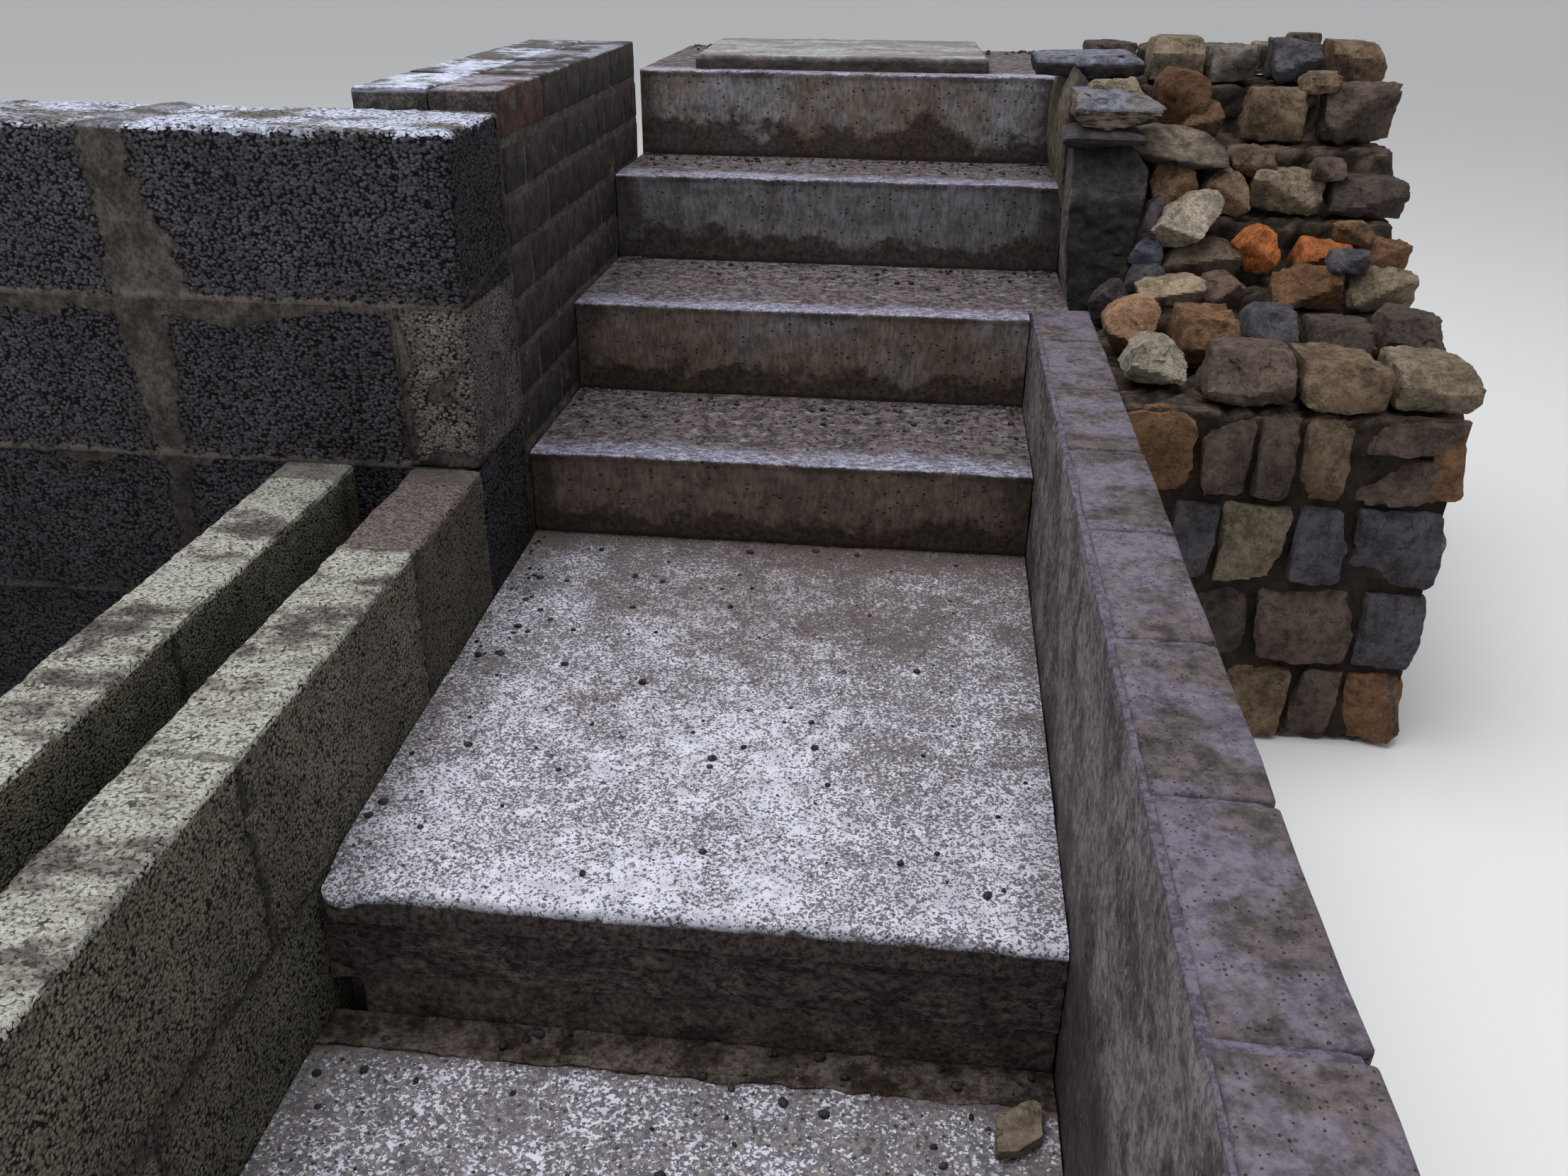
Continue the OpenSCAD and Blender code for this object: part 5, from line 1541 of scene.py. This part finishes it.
    def hearting(self, bank, tones):
        """The CAD solid, remeshed finely and roughened, set back behind its facing."""
        mesh = bpy.data.meshes.new("bank")
        bank.to_mesh(mesh)
        bank.free()
        rough = bpy.data.objects.new("bank", mesh)
        bpy.context.scene.collection.objects.link(rough)
        remesh = rough.modifiers.new("Cells", "REMESH")
        remesh.mode = "VOXEL"
        remesh.voxel_size = 14.0
        fine = rough.evaluated_get(bpy.context.evaluated_depsgraph_get())
        bm = bmesh.new()
        bm.from_mesh(fine.to_mesh())
        bpy.data.objects.remove(rough)
        bpy.data.meshes.remove(mesh)
        bm.normal_update()
        p = points(bm)
        way = np.array([v.normal[:] for v in bm.verts])
        low, high = plan_box("rubble_hearting")
        # the outer stones stand over these parts
        outer = np.maximum(np.maximum(p[:, 0] - high[0], p[:, 1] - high[1]), low[1] - p[:, 1]) > -20.0
        up = soft(way[:, 2], 0.4, 0.8)
        gap, tone = cells(p, (40, 40, 30), 2)
        # deep: painted shade, in the gaps between the small stones and on the outer faces behind the facing stones
        deep = np.where(up > 0.5, soft(gap, 0.22, 0.02), np.where(outer, 0.85, soft(gap, 0.25, 0.05)))
        depth = 1.5 + np.where(outer, 11.0, 0.0) * (1 - up) + 7.0 * soft(gap, 0.3, 0.0)
        depth += 3.0 * cloud(p, (46, 46, 34), 3, 4)
        p -= way * depth[:, None]
        sunk = 27.0 + 5.0 * cloud(p, 50, 6, 2)
        p[:, 0] = np.where(outer, np.minimum(p[:, 0], high[0] - sunk), p[:, 0])
        p[:, 1] = np.where(outer, np.clip(p[:, 1], low[1] + sunk, high[1] - sunk), p[:, 1])
        p[:, 2] = np.maximum(p[:, 2], 0.0)
        place(bm, p)
        layer = bm.verts.layers.float_color.new("tint")
        colour = np.array(tones.earth) * (0.7 + 0.9 * np.abs(tone) + 0.25 * cloud(p, 90, 8, 2))[:, None]
        for v, c in zip(bm.verts, colour.tolist()):
            v[layer] = c + [1.0]
        mark(bm, deep=deep)
        piece("packed_bank", bm, field_stone("Packed small stones"), "packed_rubble", "rubble_hearting")


class STEPS_OT_slates(bpy.types.Operator):
    """Models the post, the slab on edge and the flat stones that lie on them"""

    bl_idname = "steps.slates"
    bl_label = "Slates and cap stones"

    # node, slot, front, back, colours of the riven edge and of the faces picked by direction (a real tint on side
    # faces, painted sky sheen and painted light on upward faces), which ways those faces look and how much of that
    # colour they take, axis across the layers, roughness, ridge and angles of the front facets, and the front's outline
    PIECES = (
        ("cap_slate_upper", "pale_slate", 640, 776, "brown", "blue", ((0, -0.3, 1, 1.0),), 2, 2.6, (0.04, 58, 4, 0),
         ((823, 886), (822, 914), (827, 924), (896, 929), (930, 922), (974, 904), (962, 892), (924, 876),
          (879, 868), (837, 874))),
        ("cap_slate_lower", "dark_slate", 630, 760, "dark", "mauve", ((0, -0.3, 1, 0.8),), 2, 1.6, (0.0, 55, 15, 0),
         ((805, 852), (815, 861), (849, 872), (893, 872), (947, 861), (947, 848), (895, 844), (817, 841))),
        ("leaning_slate", "pale_slate", 694, 798, "dark", "brown", ((0, -0.5, 1, 1.0),), 2, 2.4, (-0.22, 62, 2, 6),
         ((898, 846), (921, 850), (974, 866), (1024, 864), (1068, 852), (1098, 828), (1097, 806), (1041, 803),
          (956, 812), (918, 832))),
        ("top_flagstone", "pale_slate", 930, 1086, "dark", "blue", ((0, -0.2, 1, 1.0),), 2, 2.6, (0.1, 55, 6, 0),
         ((774, 926), (771, 952), (800, 959), (950, 962), (972, 950), (972, 930), (950, 922), (860, 920))),
        ("upright_slab", "pale_slate", 768, 1142, "dark", "brown", ((-1, -0.4, 0, 0.9), (0, -1, 0, 0.6)), 0, 2.0,
         (0.3, 40, 2, -20),
         ((838, 702), (822, 790), (821, 872), (826, 905), (841, 945), (850, 939), (868, 915), (868, 702))),
        ("upright_post", "dark_slate", 632, 766, "deep", "grey", ((-1, 0, 0, 0.8), (0, -0.75, 0.66, 0.22)), 1, 1.5,
         (0.20, 26, 2, 0),
         ((848, 557), (833, 640), (828, 700), (830, 770), (830, 838), (880, 847), (927, 847), (957, 807),
          (952, 760), (946, 700), (940, 640), (934, 557))),
    )

    def execute(self, context):
        tones = settings(context)[2]
        colours = {
            "blue": tones.slate_blue_sky_sheen,
            "brown": tones.slate_brown,
            "dark": tones.slate_dark,
            "grey": tones.slate_grey,
            "mauve": tones.slate_mauve,
            "deep": [c * 0.26 for c in tones.slate_dark],
        }
        for k, (node, slot, front, back, edge, face, looks, across, wear, form, outline) in enumerate(self.PIECES):
            sides, low, high = outline_sides(outline)
            a, b = (low[0], front, low[1]), (high[0], back, high[1])
            ridge, upper, lower, lean = form
            tilt = facets((back - front) / 2, ridge * (high[1] - low[1]), upper, lower, lean)
            bm = stone(a, b, sides + tilt, 5.0, 90.0, wear, 300 + k, 3, 0.95)
            bm.normal_update()
            way = np.array([v.normal[:] for v in bm.verts])
            # faces that look the listed ways take the face colour, which is painted light where they look up
            faded = np.zeros(len(way))
            for x, y, z, much in looks:
                faded = np.maximum(faded, much * soft(way @ np.array(Vector((x, y, z)).normalized()), 0.55, 0.88))
            mark(bm, faded=faded)
            finish = split_slate(node.replace("_", " ").capitalize(), colours[edge], tones.slate_shade, across,
                                 colours[face])
            piece(node + "_surface", bm, finish, slot, node, crease=34)
        sides, low, high = outline_sides(((849, 930), (859, 939), (929, 942), (933, 922), (947, 912), (944, 890),
                                          (858, 890), (850, 905)))
        a, b = (low[0], 704, low[1]), (high[0], 772, high[1])
        bm = stone(a, b, sides + facets(34, 0, 38, 8, 12), 3.5, 40.0, 2.4, 340, 4, 0.86)
        piece("cap_stone_surface", tinted(bm, (142, 130, 112), 9), field_stone("Pale cap stone"), "rubble_stone",
              "cap_stone", crease=34)
        return {"FINISHED"}


class STEPS_OT_footings(bpy.types.Operator):
    """Gives the footings, which keep their CAD shape, a rough concrete finish"""

    bl_idname = "steps.footings"
    bl_label = "Footings"

    def execute(self, context):
        tones = settings(context)[0]
        finish = gritty_mortar("Footing concrete", tones.dirt, tones.damp)
        for node in ("block_wall_footing", "skin_footing"):
            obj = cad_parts[node]
            obj.data.materials.clear()
            obj.data.materials.append(finish)
        return {"FINISHED"}


# ---------------------------------------------------------------- stage


class STEPS_OT_stage(bpy.types.Operator):
    """Adds the pale floor, the soft light and the camera at the photograph's angle"""

    bl_idname = "steps.stage"
    bl_label = "Stage"

    def execute(self, context):
        bpy.ops.mesh.primitive_plane_add(size=80, location=(0, 0, -0.001))
        floor = bpy.context.object
        floor.name = "studio_floor"
        f = Finish("Pale studio floor")
        floor.data.materials.append(f.done(f.mix(f.noise(0.4), (0.80, 0.80, 0.80), (0.82, 0.82, 0.82)), 0.9, None, 0.1))
        world = bpy.data.worlds.new("Soft sky")
        context.scene.world = world
        world.use_nodes = True
        tree = world.node_tree
        tree.nodes.clear()
        out = tree.nodes.new("ShaderNodeOutputWorld")
        path = tree.nodes.new("ShaderNodeLightPath")
        seen = tree.nodes.new("ShaderNodeMath")
        seen.operation = "MAXIMUM"
        more = tree.nodes.new("ShaderNodeMath")
        more.operation = "MAXIMUM"
        light = tree.nodes.new("ShaderNodeBackground")
        light.inputs["Color"].default_value = (0.95, 0.97, 1.0, 1.0)
        light.inputs["Strength"].default_value = 0.52
        white = tree.nodes.new("ShaderNodeBackground")
        white.inputs["Color"].default_value = (1.0, 1.0, 1.0, 1.0)
        blend = tree.nodes.new("ShaderNodeMixShader")
        link = tree.links.new
        link(path.outputs["Is Camera Ray"], more.inputs[0])
        link(path.outputs["Is Transmission Ray"], more.inputs[1])
        link(more.outputs[0], seen.inputs[0])
        link(path.outputs["Is Glossy Ray"], seen.inputs[1])
        link(seen.outputs[0], blend.inputs[0])
        link(light.outputs[0], blend.inputs[1])
        link(white.outputs[0], blend.inputs[2])
        link(blend.outputs[0], out.inputs[0])
        lamp = bpy.data.lights.new("Soft overhead", "AREA")
        lamp.shape = "DISK"
        lamp.size = 5.0
        lamp.energy = 235.0
        overhead = bpy.data.objects.new("Soft overhead", lamp)
        overhead.location = (-0.6, -0.4, 5.2)
        context.scene.collection.objects.link(overhead)
        self.camera(context)
        context.scene.view_settings.view_transform = "Standard"
        return {"FINISHED"}

    def camera(self, context):
        yaw, pitch, roll = (math.radians(a) for a in (-5.90, 26.74, 0.64))
        ahead = Vector((math.sin(yaw) * math.cos(pitch), math.cos(yaw) * math.cos(pitch), -math.sin(pitch)))
        right = Vector((math.cos(yaw), -math.sin(yaw), 0.0))
        up = right.cross(ahead)
        right, up = right * math.cos(roll) + up * math.sin(roll), up * math.cos(roll) - right * math.sin(roll)
        data = bpy.data.cameras.new("Photograph angle")
        data.sensor_width = 36.0
        data.lens = 1845.9 / PHOTO_SIZE[0] * data.sensor_width
        camera = bpy.data.objects.new("Photograph angle", data)
        place_at = Matrix.Translation((0.5632, -1.9047, 1.1579))
        camera.matrix_world = place_at @ Matrix((right, up, -ahead)).transposed().to_4x4()
        context.scene.collection.objects.link(camera)
        context.scene.camera = camera


class STEPS_PT_panel(bpy.types.Panel):
    """Lists the steps' operators and settings"""

    bl_idname = "STEPS_PT_panel"
    bl_label = "Outdoor steps"
    bl_space_type = "VIEW_3D"
    bl_region_type = "UI"
    bl_category = "Steps"

    def draw(self, context):
        for operator in OPERATORS:
            self.layout.operator(operator.bl_idname)
        for group in settings(context):
            box = self.layout.box()
            for name in group.__annotations__:
                box.prop(group, name)


GROUPS = (("steps_concrete", ConcreteSettings), ("steps_masonry", MasonrySettings), ("steps_stone", StoneSettings))
OPERATORS = (
    STEPS_OT_landing,
    STEPS_OT_flight,
    STEPS_OT_flag,
    STEPS_OT_block_wall,
    STEPS_OT_skins,
    STEPS_OT_brick_wall,
    STEPS_OT_kerb_wall,
    STEPS_OT_slates,
    STEPS_OT_rubble,
    STEPS_OT_footings,
    STEPS_OT_stage,
)


def register():
    for name, group in GROUPS:
        bpy.utils.register_class(group)
        setattr(bpy.types.Scene, name, PointerProperty(type=group))
    for cls in OPERATORS + (STEPS_PT_panel,):
        bpy.utils.register_class(cls)


def unregister():
    for cls in (STEPS_PT_panel,) + OPERATORS[::-1]:
        bpy.utils.unregister_class(cls)
    for name, group in reversed(GROUPS):
        delattr(bpy.types.Scene, name)
        bpy.utils.unregister_class(group)


def main():
    register()
    bpy.ops.steps.landing()
    bpy.ops.steps.flight()
    bpy.ops.steps.flag()
    bpy.ops.steps.block_wall()
    bpy.ops.steps.skins()
    bpy.ops.steps.brick_wall()
    bpy.ops.steps.kerb_wall()
    bpy.ops.steps.slates()
    bpy.ops.steps.rubble()
    bpy.ops.steps.footings()
    bpy.ops.steps.stage()


if __name__ == "__main__":
    main()
